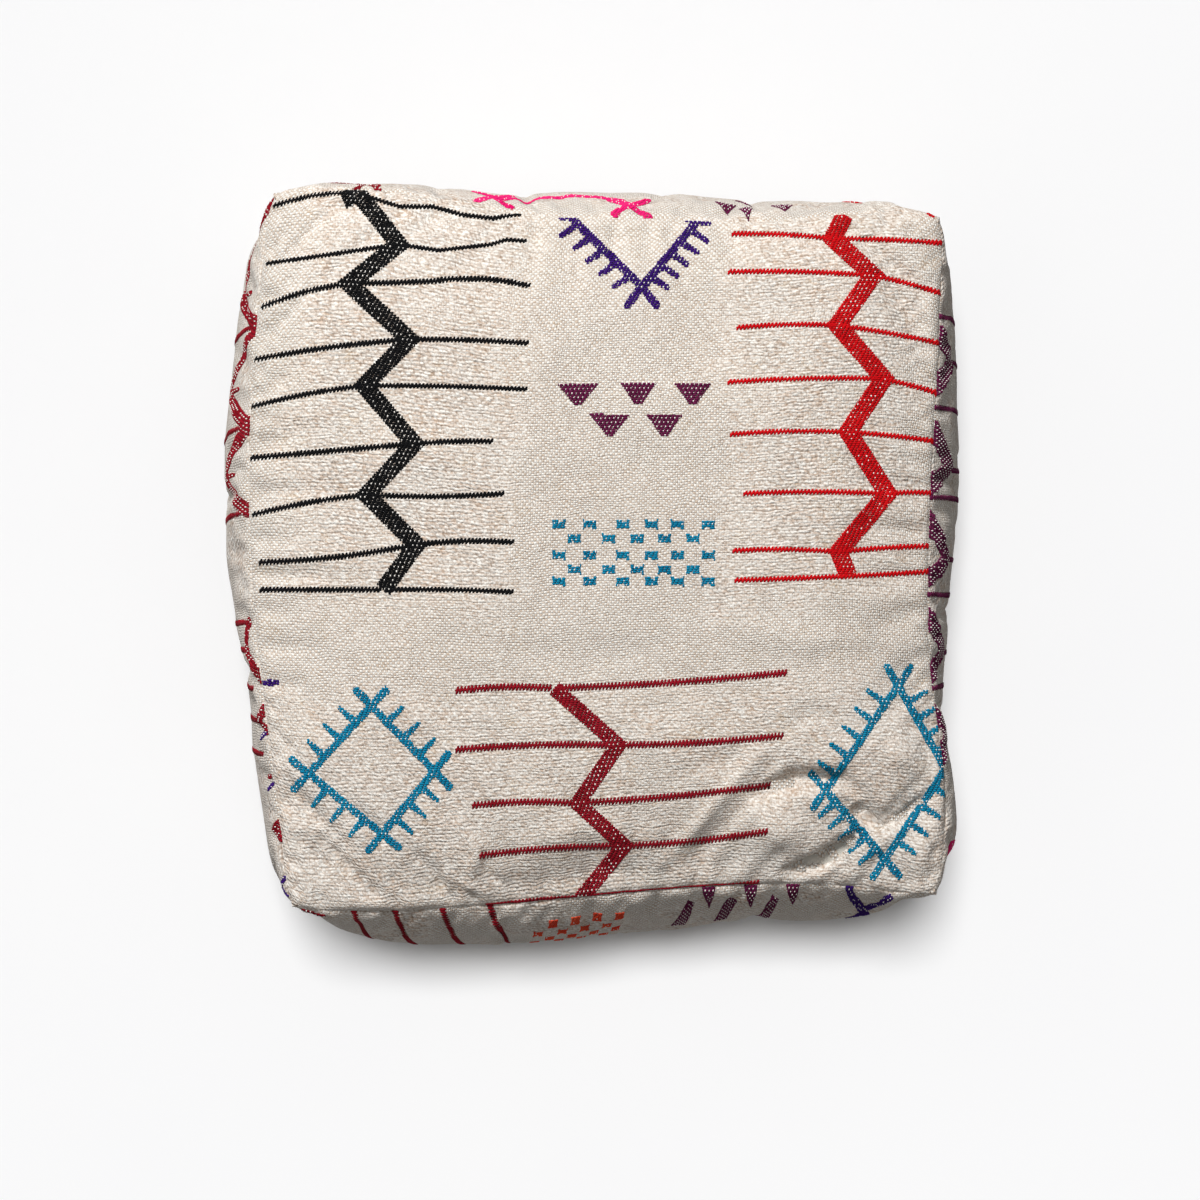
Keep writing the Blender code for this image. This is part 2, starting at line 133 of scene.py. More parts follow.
# The camera, straight above, a little in front of and to the right of the middle.
CAMERA_X, CAMERA_Y = 0.0059, -0.0337
CAMERA_HEIGHT = 2.4  # above the top seam
VIEW_WIDTH = 1.0116  # of the picture, at the top seam's height


# ---------------------------------------------------------------- numbers


class Noise:
    """Smooth random lumps between about -1 and 1, one lump per unit, the same on each run."""

    SIZE = 64

    def __init__(self, seed):
        self.table = np.random.default_rng(seed).uniform(-1, 1, (self.SIZE, self.SIZE))

    def __call__(self, x, y):
        x0, y0 = np.floor(x).astype(int), np.floor(y).astype(int)
        fx, fy = x - x0, y - y0
        fx, fy = fx * fx * (3 - 2 * fx), fy * fy * (3 - 2 * fy)

        def corner(i, j):
            return self.table[(x0 + i) % self.SIZE, (y0 + j) % self.SIZE]

        low = corner(0, 0) * (1 - fx) + corner(1, 0) * fx
        high = corner(0, 1) * (1 - fx) + corner(1, 1) * fx
        return low * (1 - fy) + high * fy


def ramp(x, start, end):
    """0 before start, 1 after end, and smooth between them."""
    t = np.clip((np.asarray(x, float) - start) / (end - start), 0, 1)
    return t * t * (3 - 2 * t)


def spline(places, x):
    """A smooth curve through a few (place, value) pairs, at x."""
    places = np.array(places, float)
    at, value = places[:, 0], places[:, 1]
    slope = np.gradient(value, at)
    x = np.clip(x, at[0], at[-1])
    i = np.clip(np.searchsorted(at, x, side="right") - 1, 0, len(at) - 2)
    wide = at[i + 1] - at[i]
    t = (x - at[i]) / wide
    return (
        value[i] * (1 + 2 * t) * (1 - t) ** 2
        + wide * slope[i] * t * (1 - t) ** 2
        + value[i + 1] * t * t * (3 - 2 * t)
        - wide * slope[i + 1] * t * t * (1 - t)
    )


def cubic_weights(count, places):
    """Matrix that reads a smooth curve through count + 1 evenly spaced points, at places from 0 to 1."""
    x = np.clip(np.asarray(places, float), 0, 1) * count
    i = np.clip(np.floor(x).astype(int), 0, count - 1)
    t = x - i
    parts = (
        (-1, -0.5 * t + t**2 - 0.5 * t**3),
        (0, 1 - 2.5 * t**2 + 1.5 * t**3),
        (1, 0.5 * t + 2 * t**2 - 1.5 * t**3),
        (2, -0.5 * t**2 + 0.5 * t**3),
    )
    matrix = np.zeros((len(x), count + 1))
    rows = np.arange(len(x))
    for step, weight in parts:
        j = i + step
        inside = (j >= 0) & (j <= count)
        np.add.at(matrix, (rows[inside], j[inside]), weight[inside])
        for beyond, edge, back in ((j < 0, 0, 1), (j > count, count, count - 1)):
            np.add.at(matrix, (rows[beyond], np.full(beyond.sum(), edge)), 2 * weight[beyond])
            np.add.at(matrix, (rows[beyond], np.full(beyond.sum(), back)), -weight[beyond])
    return matrix


def steps_with_seams(count, length):
    """Places from 0 to 1 along a panel, with a few extra ones beside each seam."""
    beside = np.array(SEAM_ROWS) / length
    middle = np.linspace(0, 1, count + 1)[1:-1]
    return np.concatenate([beside, middle, 1 - beside[::-1]])


def unit(vectors):
    return vectors / np.maximum(np.linalg.norm(vectors, axis=-1, keepdims=True), 1e-12)


# ---------------------------------------------------------------- the shape before it is stuffed


def seam_line(side, s, low=False):
    """Points of a side's top or bottom seam, s from -1 to 1 along it."""
    first, second = SIDES[side]
    if low:
        a, b = [np.sign(CORNERS[c]) * BOTTOM_HALF for c in (first, second)]
        z = np.full(np.shape(s), BOTTOM_SEAM_Z)
    else:
        a, b = [np.array(CORNERS[c]) - CORNER_CUT * np.sign(CORNERS[c]) for c in (first, second)]
        z = SEAM_Z + spline(SEAM_DROPS[side], s)
    along = unit(b - a)
    out = np.array([along[1], -along[0]])
    flat = a + (b - a) * ((s + 1) / 2)[..., None]
    rounded = CORNER_CUT * (1 - np.exp(-(((1 - np.abs(s)) * HALF / CORNER_REACH) ** 2)))
    bow = BOTTOM_BOW * (1 - s**4) if low else spline(SEAM_BOWS[side], s) + rounded
    flat = flat + out * bow[..., None]
    return np.concatenate([flat, z[..., None]], axis=-1)


def start_side(side):
    """A side panel's points, rows from the bottom seam to the top one."""
    s = np.linspace(-1, 1, CELLS + 1)
    t = np.linspace(0, 1, SIDE_ROWS + 1)[:, None, None]
    low, high = seam_line(side, s, low=True), seam_line(side, s)
    flat = low + (high - low) * t
    along = unit(seam_line(side, np.array([1.0]), low=True) - seam_line(side, np.array([-1.0]), low=True))[0]
    out = np.array([along[1], -along[0], 0])
    arch = np.sin(math.pi * t**SAG) ** 0.7
    swell = spline(SIDE_BULGES[side], s) * ramp(1 - np.abs(s), 0, 0.16)
    return flat + out * (swell[None, :, None] * arch)


def start_top():
    """The top panel's points, rows from the front seam to the back one, each from left to right."""
    s = np.linspace(-1, 1, CELLS + 1)
    front, back = seam_line("front", s), seam_line("back", -s)
    left, right = seam_line("left", -s), seam_line("right", s)
    u, v = (s[None, :, None] + 1) / 2, (s[:, None, None] + 1) / 2
    flat = (
        front[None] * (1 - v)
        + back[None] * v
        + left[:, None] * (1 - u)
        + right[:, None] * u
        - front[0] * (1 - u) * (1 - v)
        - front[-1] * u * (1 - v)
        - back[0] * (1 - u) * v
        - back[-1] * u * v
    )
    rise = (1 - np.abs(s[None, :]) ** 3.2) * (1 - np.abs(s[:, None]) ** 3.2)
    flat[..., 2] += (CROWN - START_CROWN) * rise**0.75
    return flat


def weld(grids):
    """One list of points for grids that share their edges, and each grid's point numbers."""
    points, numbers, seen = [], {}, {}
    for name, grid in grids.items():
        flat = grid.reshape(-1, 3)
        own = np.empty(len(flat), int)
        for k, p in enumerate(flat):
            key = tuple(np.round(p, 5))
            if key not in seen:
                seen[key] = len(points)
                points.append(p)
            own[k] = seen[key]
        numbers[name] = own.reshape(grid.shape[:2])
    return np.array(points), numbers


def grid_quads(numbers):
    """Faces of a grid of point numbers, rows upwards, seen from outside."""
    a, b = numbers[:-1, :-1], numbers[:-1, 1:]
    c, d = numbers[1:, 1:], numbers[1:, :-1]
    return np.stack([a, b, c, d], axis=-1).reshape(-1, 4)


def stuffed(grids):
    """The cover's grids after Blender's cloth simulation has filled them with stuffing."""
    points, numbers = weld(grids)
    mesh = bpy.data.meshes.new("cover_simulation")
    faces = np.concatenate([grid_quads(n) for n in numbers.values()])
    mesh.from_pydata(points.tolist(), [], faces.tolist())
    cover = bpy.data.objects.new("cover_simulation", mesh)
    bpy.context.scene.collection.objects.link(cover)

    sewn = cover.vertex_groups.new(name="sewn")
    top, side = numbers["top"], [numbers[s] for s in SIDES]
    held = np.unique(np.concatenate([top[0], top[-1], top[:, 0], top[:, -1], *[n[0] for n in side]]))
    sewn.add(held.tolist(), 1.0, "REPLACE")
    corner = np.unique(np.concatenate([n[:, 0] for n in side]))
    sewn.add(corner.tolist(), 1.0, "REPLACE")

    cloth = cover.modifiers.new("Cloth", "CLOTH")
    cloth.settings.quality = 6
    cloth.settings.mass = 0.3
    cloth.settings.tension_stiffness = cloth.settings.compression_stiffness = 15
    cloth.settings.bending_stiffness = 0.4
    cloth.settings.use_pressure = True
    cloth.settings.uniform_pressure_force = PRESSURE
    cloth.settings.shrink_min = SIM_SHRINK
    cloth.settings.vertex_group_mass = "sewn"
    cloth.settings.effector_weights.gravity = 0
    cloth.collision_settings.use_collision = False
    cloth.point_cache.frame_start, cloth.point_cache.frame_end = 1, SIM_FRAMES
    scene = bpy.context.scene
    for number in range(1, SIM_FRAMES + 1):
        scene.frame_set(number)
    moved = cover.evaluated_get(bpy.context.evaluated_depsgraph_get()).to_mesh()
    after = np.empty(len(points) * 3)
    moved.vertices.foreach_get("co", after)
    after = after.reshape(-1, 3)
    bpy.data.objects.remove(cover)
    scene.frame_set(1)

    push = after - points
    length = np.linalg.norm(push, axis=1, keepdims=True)
    push *= SIM_CAP * np.tanh(length / SIM_CAP) / np.maximum(length, 1e-9)
    points = points + push
    return {name: points[n] for name, n in numbers.items()}


# ---------------------------------------------------------------- fine surfaces


class Cloth:
    """A panel's fine surface: a grid of points over its flat cloth, which is width by height."""

    def __init__(self, name, grid, width, height, across, up, fine=False):
        self.name, self.width, self.height = name, width, height
        self.a, self.b = across, up  # places from 0 to 1
        if not fine:
            rows = cubic_weights(grid.shape[0] - 1, up)
            columns = cubic_weights(grid.shape[1] - 1, across)
            grid = np.einsum("ri,ijk,cj->rck", rows, grid, columns)
        self.points = grid
        self.hem = 0.0  # 1 where the cloth is folded double
        self.turn()

    def turn(self):
        """Works out the normals again after the points have moved."""
        across = np.gradient(self.points, self.a * self.width, axis=1)
        up = np.gradient(self.points, self.b * self.height, axis=0)
        self.normals = unit(np.cross(across, up))

    def flat(self):
        """Distances in millimetres from the panel's middle, of each point on the flat cloth."""
        x = (self.a - 0.5) * self.width / MM
        y = (self.b - 0.5) * self.height / MM
        return np.meshgrid(x, y)

    def seam_distance(self):
        """How far each point is from the nearest seam along the cloth."""
        x = np.minimum(self.a, 1 - self.a) * self.width
        y = np.minimum(self.b, 1 - self.b) * self.height
        return np.minimum(x[None, :], y[:, None])

    def push(self, amount):
        self.points = self.points + self.normals * amount[..., None]
        self.turn()

    def read(self, x, y):
        """Points and normals at distances in millimetres from the middle, on the flat cloth."""
        a = np.clip(x * MM / self.width + 0.5, 0, 1)
        b = np.clip(y * MM / self.height + 0.5, 0, 1)
        i = np.clip(np.searchsorted(self.a, a, side="right") - 1, 0, len(self.a) - 2)
        j = np.clip(np.searchsorted(self.b, b, side="right") - 1, 0, len(self.b) - 2)
        fa = ((a - self.a[i]) / (self.a[i + 1] - self.a[i]))[..., None]
        fb = ((b - self.b[j]) / (self.b[j + 1] - self.b[j]))[..., None]

        def blend(grid):
            low = grid[j, i] * (1 - fa) + grid[j, i + 1] * fa
            high = grid[j + 1, i] * (1 - fa) + grid[j + 1, i + 1] * fa
            return low * (1 - fb) + high * fb

        return blend(self.points), unit(blend(self.normals))


def gauss(distance, width):
    return np.exp(-((distance / width) ** 2))


def along_line(x, y, line):
    """Distance from a broken line, and how far along it, from 0 to 1, the nearest place is."""
    line = np.array(line, float)
    lengths = np.linalg.norm(np.diff(line, axis=0), axis=1)
    total, before = lengths.sum(), 0.0
    best = np.full(np.shape(x), np.inf)
    place = np.zeros(np.shape(x))
    for (ax, ay), (bx, by), length in zip(line[:-1], line[1:], lengths):
        t = np.clip(((x - ax) * (bx - ax) + (y - ay) * (by - ay)) / length**2, 0, 1)
        d = np.hypot(x - ax - t * (bx - ax), y - ay - t * (by - ay))
        nearer = d < best
        best = np.where(nearer, d, best)
        place = np.where(nearer, (before + t * length) / total, place)
        before += length
    return best, place


# Soft folds of the top, as lines in millimetres, with their depth, width and which way they go.
TOP_FOLDS = (
    (((120, -208), (157, -194), (196, -195), (218, -218)), -0.0130, 9),
    (((204, -214), (222, -238)), -0.0150, 13),
    (((216, -240), (245, -226), (276, -201)), -0.0120, 9),
    (((220, -238), (182, -266), (138, -287)), -0.0110, 9),
    (((120, -228), (142, -240), (170, -246)), 0.0070, 17),
    (((127, -172), (88, -214), (43, -266)), 0.0036, 7),
    (((140, -182), (106, -226), (66, -268)), -0.0040, 9),
    (((232, -168), (255, -176), (276, -186)), 0.0050, 13),
    (((258, -248), (282, -256)), 0.0050, 18),
    (((200, -286), (240, -278)), 0.0040, 10),
    (((-130, -284), (-60, -286), (40, -282)), -0.0060, 26),
    (((-112, -244), (-108, -262), (-94, -278)), -0.0058, 6),
    (((-142, -260), (-120, -276), (-96, -286)), 0.0042, 6),
    (((-178, -234), (-156, -256), (-148, -280)), -0.0054, 6.5),
    (((-130, -218), (-118, -242), (-126, -262)), 0.0036, 6),
    (((-222, -196), (-204, -216), (-190, -236)), -0.0040, 7),
    (((-70, -236), (-30, -226), (22, -240)), 0.0030, 12),
    (((150, -150), (180, -138), (214, -146)), -0.0026, 9),
    (((60, -190), (96, -176), (130, -160)), -0.0024, 10),
    (((-250, 286), (-120, 279), (-60, 283)), -0.0022, 9),
    (((-255, 60), (-232, 110), (-228, 180)), 0.0022, 20),
    (((255, -60), (232, 20), (238, 120)), -0.0022, 20),
    (((118, -62), (180, -78), (250, -70)), 0.0024, 12),
    (((-90, -70), (-10, -86), (60, -78)), -0.0018, 14),
)


def lumps(cloth, seed, size, height):
    x, y = cloth.flat()
    return height * Noise(seed)(x / size + 7, y / size + 3)


def puckers(cloth, seed):
    """Small gathers along the seams, where the thread pulls the cloth in."""
    x, y = cloth.flat()
    near = cloth.seam_distance()
    edge_x = np.minimum(cloth.a, 1 - cloth.a) * cloth.width
    edge_y = np.minimum(cloth.b, 1 - cloth.b) * cloth.height
    along = np.where(edge_x[None, :] < edge_y[:, None], y, x)
    wave = Noise(seed)(along / 9.0, along / 61.0) + 0.5 * Noise(seed + 1)(along / 4.2, along / 53.0)
    far = ramp(np.maximum(edge_x[None, :], edge_y[:, None]), 0.004, 0.03)
    return 0.0011 * wave * np.exp(-near / 0.010) * ramp(near, 0, 0.004) * far


def sewn_edge(cloth):
    """The cloth turns in at its seams."""
    near = cloth.seam_distance()
    return -0.0022 * np.exp(-((near / 0.0026) ** 1.4)) - 0.0010 * np.exp(-near / 0.011)


def shape_top(coarse):
    across = steps_with_seams(TOP_STEPS, 2 * HALF)
    cloth = Cloth("top_cover_panel", coarse, 2 * HALF, 2 * HALF, across, across)
    x, y = cloth.flat()
    amount = lumps(cloth, 11, 92, 0.0026) + lumps(cloth, 12, 41, 0.0013) + lumps(cloth, 13, 17, 0.0004)
    low = 1 - ramp(y, -140, -90)
    amount += low * (lumps(cloth, 14, 26, 0.0012) + lumps(cloth, 15, 13, 0.0005))
    inside = ramp(cloth.seam_distance(), 0.002, 0.022)
    ridges, valleys = np.zeros(x.shape), np.zeros(x.shape)
    for line, depth, width in TOP_FOLDS:
        distance, place = along_line(x, y, line)
        strength = 0.35 + 0.65 * np.sin(math.pi * np.clip(place, 0.06, 0.94))  # a fold fades at its ends
        fold = depth * gauss(distance, width) * strength
        ridges, valleys = np.maximum(ridges, fold), np.minimum(valleys, fold)
    amount += ridges + valleys
    cloth.push(amount * inside + 0.6 * puckers(cloth, 21) + sewn_edge(cloth))
    return cloth


def shape_side(side, coarse, seed):
    height = SEAM_Z - BOTTOM_SEAM_Z + SIDE_OVER_BULGE
    across = steps_with_seams(SIDE_STEPS, 2 * HALF)
    up = steps_with_seams(SIDE_UP_STEPS, height)
    cloth = Cloth(side + "_cover_panel", coarse, 2 * HALF, height, across, up)
    amount = lumps(cloth, seed, 86, 0.0022) + lumps(cloth, seed + 1, 33, 0.0012)
    inside = ramp(cloth.seam_distance(), 0.002, 0.03)
    cloth.push(amount * inside + puckers(cloth, seed + 2) + sewn_edge(cloth))
    return cloth


def mesh_object(name, points, faces):
    """A new object from points and faces."""
    mesh = bpy.data.meshes.new(name)
    mesh.from_pydata(np.asarray(points).tolist(), [], [tuple(int(i) for i in f) for f in faces])
    mesh.validate(clean_customdata=False)
    mesh.shade_smooth()
    piece = bpy.data.objects.new(name, mesh)
    bpy.context.scene.collection.objects.link(piece)
    return piece


def ring(numbers):
    """The point numbers round a grid's edge, anticlockwise from outside, without repeats."""
    return np.concatenate([numbers[0, :-1], numbers[:-1, -1], numbers[-1, :0:-1], numbers[:0:-1, 0]])


def panel_object(cloth, thickness, every=INNER_EVERY):
    """The panel as a closed sheet: its fine face, an edge turned in at the seams and a coarser inside."""
    depth = (thickness * (1 + cloth.hem) + np.zeros(cloth.points.shape[:2]))[..., None]
    rows, columns = cloth.points.shape[:2]
    numbers = np.arange(rows * columns).reshape(rows, columns)
    x, y = cloth.flat()
    flat = np.stack([x, y], axis=-1).reshape(-1, 2) * MM
    points = [cloth.points.reshape(-1, 3)]
    flats = [flat]
    faces = [grid_quads(numbers)]
    edge = ring(numbers)
    edge_points = points[0][edge]
    edge_normals = cloth.normals.reshape(-1, 3)[edge]

    total = rows * columns
    turned = total + np.arange(len(edge))
    points.append(edge_points - edge_normals * depth.reshape(-1, 1)[edge] * 0.5)
    flats.append(flat[edge])
    total += len(edge)
    faces.append(np.stack([edge, turned, np.roll(turned, -1), np.roll(edge, -1)], axis=-1))

    pick_rows = np.unique(np.append(np.arange(0, rows, every), rows - 1))
    pick_columns = np.unique(np.append(np.arange(0, columns, every), columns - 1))
    within = np.ix_(pick_rows, pick_columns)
    inner_points = cloth.points[within] - cloth.normals[within] * depth[within]
    inner = total + np.arange(len(pick_rows) * len(pick_columns)).reshape(len(pick_rows), len(pick_columns))
    points.append(inner_points.reshape(-1, 3))
    flats.append(np.stack([x[within], y[within]], axis=-1).reshape(-1, 2) * MM)
    faces.append(grid_quads(inner)[:, ::-1])

    inner_ring = ring(inner)
    matching = {int(n): k for k, n in enumerate(edge)}
    starts = [matching[int(n)] for n in ring(numbers[within])]
    bridge = []
    for k, first in enumerate(starts):
        last = starts[(k + 1) % len(starts)]
        last = last if last > first else last + len(edge)
        here, there = inner_ring[k], inner_ring[(k + 1) % len(starts)]
        middle = (first + last) // 2
        for step in range(first, last):
            a, b = turned[step % len(edge)], turned[(step + 1) % len(edge)]
            bridge.append((a, here if step < middle else there, b))
            if step == middle:
                bridge.append((a, here, there))
    points, flats = np.concatenate(points), np.concatenate(flats)
    faces = [tuple(f) for group in faces for f in group] + bridge
    piece = mesh_object(cloth.name, points, faces)
    flat_map(piece, flats)
    return piece


def flat_map(piece, flats):
    """A UV map named Cloth: places on the flat cloth, in metres."""
    mesh = piece.data
    loops = np.empty(len(mesh.loops), int)
    mesh.loops.foreach_get("vertex_index", loops)
    layer = mesh.uv_layers.new(name="Cloth")
    layer.uv.foreach_set("vector", flats[loops].astype(np.float32).ravel())


def attribute(piece, name, values):
    """A number at each of the first points of the piece; the others keep 0."""
    layer = piece.data.attributes.new(name, "FLOAT", "POINT")
    every = np.zeros(len(piece.data.vertices), np.float32)
    every[: values.size] = values.ravel()
    layer.data.foreach_set("value", every)


# ---------------------------------------------------------------- materials


class Shader:
    """A material's node tree, with short ways to add to it."""

    def __init__(self, name):
        self.material = bpy.data.materials.new(name)
        self.material.use_nodes = True
        self.tree = self.material.node_tree
        self.tree.nodes.clear()
        self.output = self.tree.nodes.new("ShaderNodeOutputMaterial")
        self.surface = self.tree.nodes.new("ShaderNodeBsdfPrincipled")
        self.tree.links.new(self.surface.outputs[0], self.output.inputs["Surface"])

    def put(self, node, name, value):
        socket = node.inputs[name]
        if isinstance(value, bpy.types.NodeSocket):
            self.tree.links.new(value, socket)
        else:
            socket.default_value = value

    def node(self, kind, out=0, inputs=(), **settings):
        node = self.tree.nodes.new(kind)
        for key, value in settings.items():
            setattr(node, key, value)
        for key, value in dict(inputs).items():
            self.put(node, key, value)
        return node.outputs[out]

    def math(self, operation, *values):
        return self.node("ShaderNodeMath", inputs=enumerate(values), operation=operation)

    def flat(self):
        return self.node("ShaderNodeUVMap", uv_map="Cloth")

    def scaled(self, vector, x, y, z=1.0):
        return self.node("ShaderNodeVectorMath", inputs={0: vector, 1: (x, y, z)}, operation="MULTIPLY")

    def noise(self, vector, scale, detail=2.0, out=0):
        inputs = {"Vector": vector, "Scale": scale, "Detail": detail}
        return self.node("ShaderNodeTexNoise", out=out, inputs=inputs)

    def mix(self, factor, a, b, blend="MIX"):
        inputs = {0: factor, 6: a, 7: b}
        return self.node("ShaderNodeMix", out=2, inputs=inputs, data_type="RGBA", blend_type=blend)

    def number(self, name):
        return self.node("ShaderNodeAttribute", out=2, attribute_name=name)

    def remap(self, value, low, high, to_low, to_high):
        inputs = {0: value, 1: low, 2: high, 3: to_low, 4: to_high}
        return self.node("ShaderNodeMapRange", inputs=inputs)

    def bump(self, height, distance, strength=1.0):
        inputs = {"Strength": strength, "Distance": distance, "Height": height}
        return self.node("ShaderNodeBump", inputs=inputs)

    def finish(self, **inputs):
        for name, value in inputs.items():
            self.put(self.surface, name.replace("_", " ").title().replace("Ior", "IOR"), value)
        return self.material


def colour(red, green, blue):
    """A colour as seen on a screen, 0 to 255, as Blender's linear one."""
    parts = [c / 255 for c in (red, green, blue)]
    return tuple(c / 12.92 if c <= 0.04045 else ((c + 0.055) / 1.055) ** 2.4 for c in parts) + (1.0,)


THREAD = 0.0021  # from one thread of the plain weave to the next
KNOB_WIDE, KNOB_HIGH = 0.0040, 0.0030  # from one slub to the next, across and up


def kilim_material():
    """Cream wool and cotton: a fine plain weave that turns into slubs where the attribute Knobs is 1."""
    s = Shader("kilim")
    flat = s.flat()
    drift = s.noise(flat, 60.0, 1.0, out=1)
    wobble = s.node("ShaderNodeVectorMath", inputs={0: drift, 1: (0.005, 0.005, 0)}, operation="MULTIPLY")
    bent = s.node("ShaderNodeVectorMath", inputs={0: flat, 1: wobble}, operation="ADD")
    bx, by = (s.node("ShaderNodeSeparateXYZ", out=k, inputs={0: bent}) for k in (0, 1))
    warp, weft = s.math("DIVIDE", bx, THREAD), s.math("DIVIDE", by, THREAD)
    wave_x = s.math("SINE", s.math("MULTIPLY", warp, math.pi))
    wave_y = s.math("SINE", s.math("MULTIPLY", weft, math.pi))
    crossing = s.math("MULTIPLY", wave_x, wave_y)  # above 0 the warp is on top, below 0 the weft
    plain = s.math("POWER", s.math("ABSOLUTE", crossing), 0.6)

    # Each thread has its own thickness and shade, which changes every few centimetres along it.
    def thread_value(own, along):
        parts = {0: s.math("FLOOR", own), 1: s.math("MULTIPLY", along, 0.11), 2: 0.0}
        place = s.node("ShaderNodeCombineXYZ", inputs=parts)
        return s.noise(place, 1.7, 1.0)

    warp_own, weft_own = thread_value(warp, weft), thread_value(weft, warp)
    own = s.math("ADD", s.math("MULTIPLY", warp_own, 0.45), s.math("MULTIPLY", weft_own, 0.55))

    slanted = s.math("ADD", bx, s.math("MULTIPLY", by, 0.5))
    lattice = s.node(
        "ShaderNodeCombineXYZ",
        inputs={0: s.math("DIVIDE", slanted, KNOB_WIDE), 1: s.math("DIVIDE", by, KNOB_HIGH), 2: 0.0},
    )
    slubs = {"Vector": lattice, "Scale": 1.0, "Randomness": 0.38}
    near = s.node("ShaderNodeTexVoronoi", inputs=slubs, feature="F1")
    tint = s.node("ShaderNodeTexVoronoi", out=1, inputs=slubs, feature="F1")
    knob = s.remap(near, 0.05, 0.72, 1.0, 0.0)

    knobs = s.number("Knobs")
    smooth = s.math("SUBTRACT", 1.0, knobs)
    height = s.math("ADD", s.math("MULTIPLY", plain, smooth), s.math("MULTIPLY", knob, knobs))
    grain = s.noise(flat, 520.0, 2.0)
    fibres = s.noise(flat, 1600.0, 2.0)
    cream, pale, pink = colour(240, 226, 211), colour(255, 252, 245), colour(243, 214, 189)
    # The dark tan is both a tone of the cloth and its painted shade where the weave lies low.
    tan_and_painted_shade, straw, weft_shade = colour(146, 116, 90), colour(230, 208, 175), colour(216, 192, 168)
    base = s.mix(s.remap(s.noise(flat, 9.0, 3.0), 0.35, 0.65, 0.0, 0.8), cream, pale)
    pinkness = s.math("MULTIPLY", s.remap(s.noise(flat, 18.0, 2.0), 0.32, 0.58, 0.0, 1.0), knobs)
    base = s.mix(pinkness, base, pink)
    base = s.mix(s.remap(s.noise(flat, 42.0, 1.0), 0.60, 0.72, 0.0, 0.55), base, straw)
    single = s.node("ShaderNodeSeparateXYZ", inputs={0: tint})
    base = s.mix(s.math("MULTIPLY", s.remap(single, 0.25, 1.0, 0.0, 0.9), knobs), base, pale)
    base = s.mix(s.remap(own, 0.42, 0.66, 0.0, 0.9), base, pale)
    base = s.mix(s.remap(own, 0.48, 0.28, 0.0, 0.35), base, tan_and_painted_shade)
    streaks = s.noise(s.scaled(flat, 190.0, 520.0), 1.0, 2.0)
    base = s.mix(s.remap(streaks, 0.40, 0.62, 0.46, 0.0), base, tan_and_painted_shade)
    base = s.mix(s.remap(streaks, 0.50, 0.66, 0.0, 0.90), base, pale)
    base = s.mix(s.math("MULTIPLY", s.remap(crossing, -0.35, 0.0, 0.75, 0.0), smooth), base, weft_shade)
    base = s.mix(s.math("MULTIPLY", s.remap(crossing, 0.0, 0.4, 0.0, 0.9), smooth), base, pale)
    # Darker where the weave and its slubs lie low, between the threads: painted shade.
    depth = s.math("ADD", height, s.math("MULTIPLY", grain, 0.5))
    depth = s.math("ADD", depth, s.math("MULTIPLY", smooth, 0.16))
    base = s.mix(s.remap(depth, 0.22, 0.66, 0.80, 0.0), base, tan_and_painted_shade)
    # Lighter where the grain stands up: partly tone that differs at random, partly painted highlight.
    base = s.mix(s.remap(grain, 0.55, 0.75, 0.0, 0.6), base, pale)
    base = s.mix(s.remap(fibres, 0.5, 0.8, 0.0, 0.3), base, tan_and_painted_shade)
    rise = s.math("MULTIPLY", plain, s.math("MULTIPLY", smooth, 0.55))
    rise = s.math("ADD", rise, s.math("MULTIPLY", knob, knobs))
    rise = s.math("ADD", rise, s.math("MULTIPLY", grain, 0.6))
    rise = s.math("ADD", rise, s.math("MULTIPLY", own, 0.6))
    normal = s.bump(rise, 0.0014, 1.0)
    sheen = {"sheen_weight": 0.2, "sheen_roughness": 0.5}
    return s.finish(base_color=base, roughness=0.88, specular_ior_level=0.25, normal=normal, **sheen)


def yarn_material(name, shade, light):
    """Dyed wool yarn: darker and lighter stretches, a fine twist and a little fuzz."""
    s = Shader(name)
    place = s.node("ShaderNodeTexCoord", out=3)
    patches = s.noise(place, 55.0, 2.0)
    fibres = s.noise(place, 2200.0, 2.0)
    base = s.mix(s.remap(patches, 0.3, 0.7, 0.0, 0.7), colour(*shade), colour(*light))
    base = s.mix(s.remap(fibres, 0.55, 0.8, 0.0, 0.35), base, colour(*light))
    normal = s.bump(fibres, 0.0004, 0.8)
    sheen = {"sheen_weight": 0.03, "sheen_roughness": 0.4}
    return s.finish(base_color=base, roughness=0.85, specular_ior_level=0.15, normal=normal, **sheen)


def plain_cloth_material(name, thread, shade, light, tan_and_painted_shade, slub):
    """A plain woven cotton in one colour, read from the flat cloth, with a few thicker threads and painted
    shade between the threads.
    """
    s = Shader(name)
    flat = s.flat()
    x, y = (s.node("ShaderNodeSeparateXYZ", out=k, inputs={0: flat}) for k in (0, 1))
    wave_x = s.math("SINE", s.math("MULTIPLY", x, math.pi / thread))
    wave_y = s.math("SINE", s.math("MULTIPLY", y, math.pi / thread))
    weave = s.math("ABSOLUTE", s.math("MULTIPLY", wave_x, wave_y))
    slubs = s.noise(s.scaled(flat, 18.0, 0.8 / thread), 1.0, 2.0)
    cloudy = s.noise(flat, 14.0, 3.0)
    base = s.mix(cloudy, colour(*shade), colour(*light))
    base = s.mix(s.remap(slubs, 0.5, 0.75, 0.0, slub), base, colour(*light))
    # Darker between the threads, where the weave lies low: painted shade.
    base = s.mix(s.remap(weave, 0.0, 0.5, 0.6, 0.0), base, colour(*tan_and_painted_shade))
    normal = s.bump(s.math("ADD", weave, slubs), thread * 0.35, 0.9)
    return s.finish(base_color=base, roughness=0.9, specular_ior_level=0.2, sheen_weight=0.15, normal=normal)


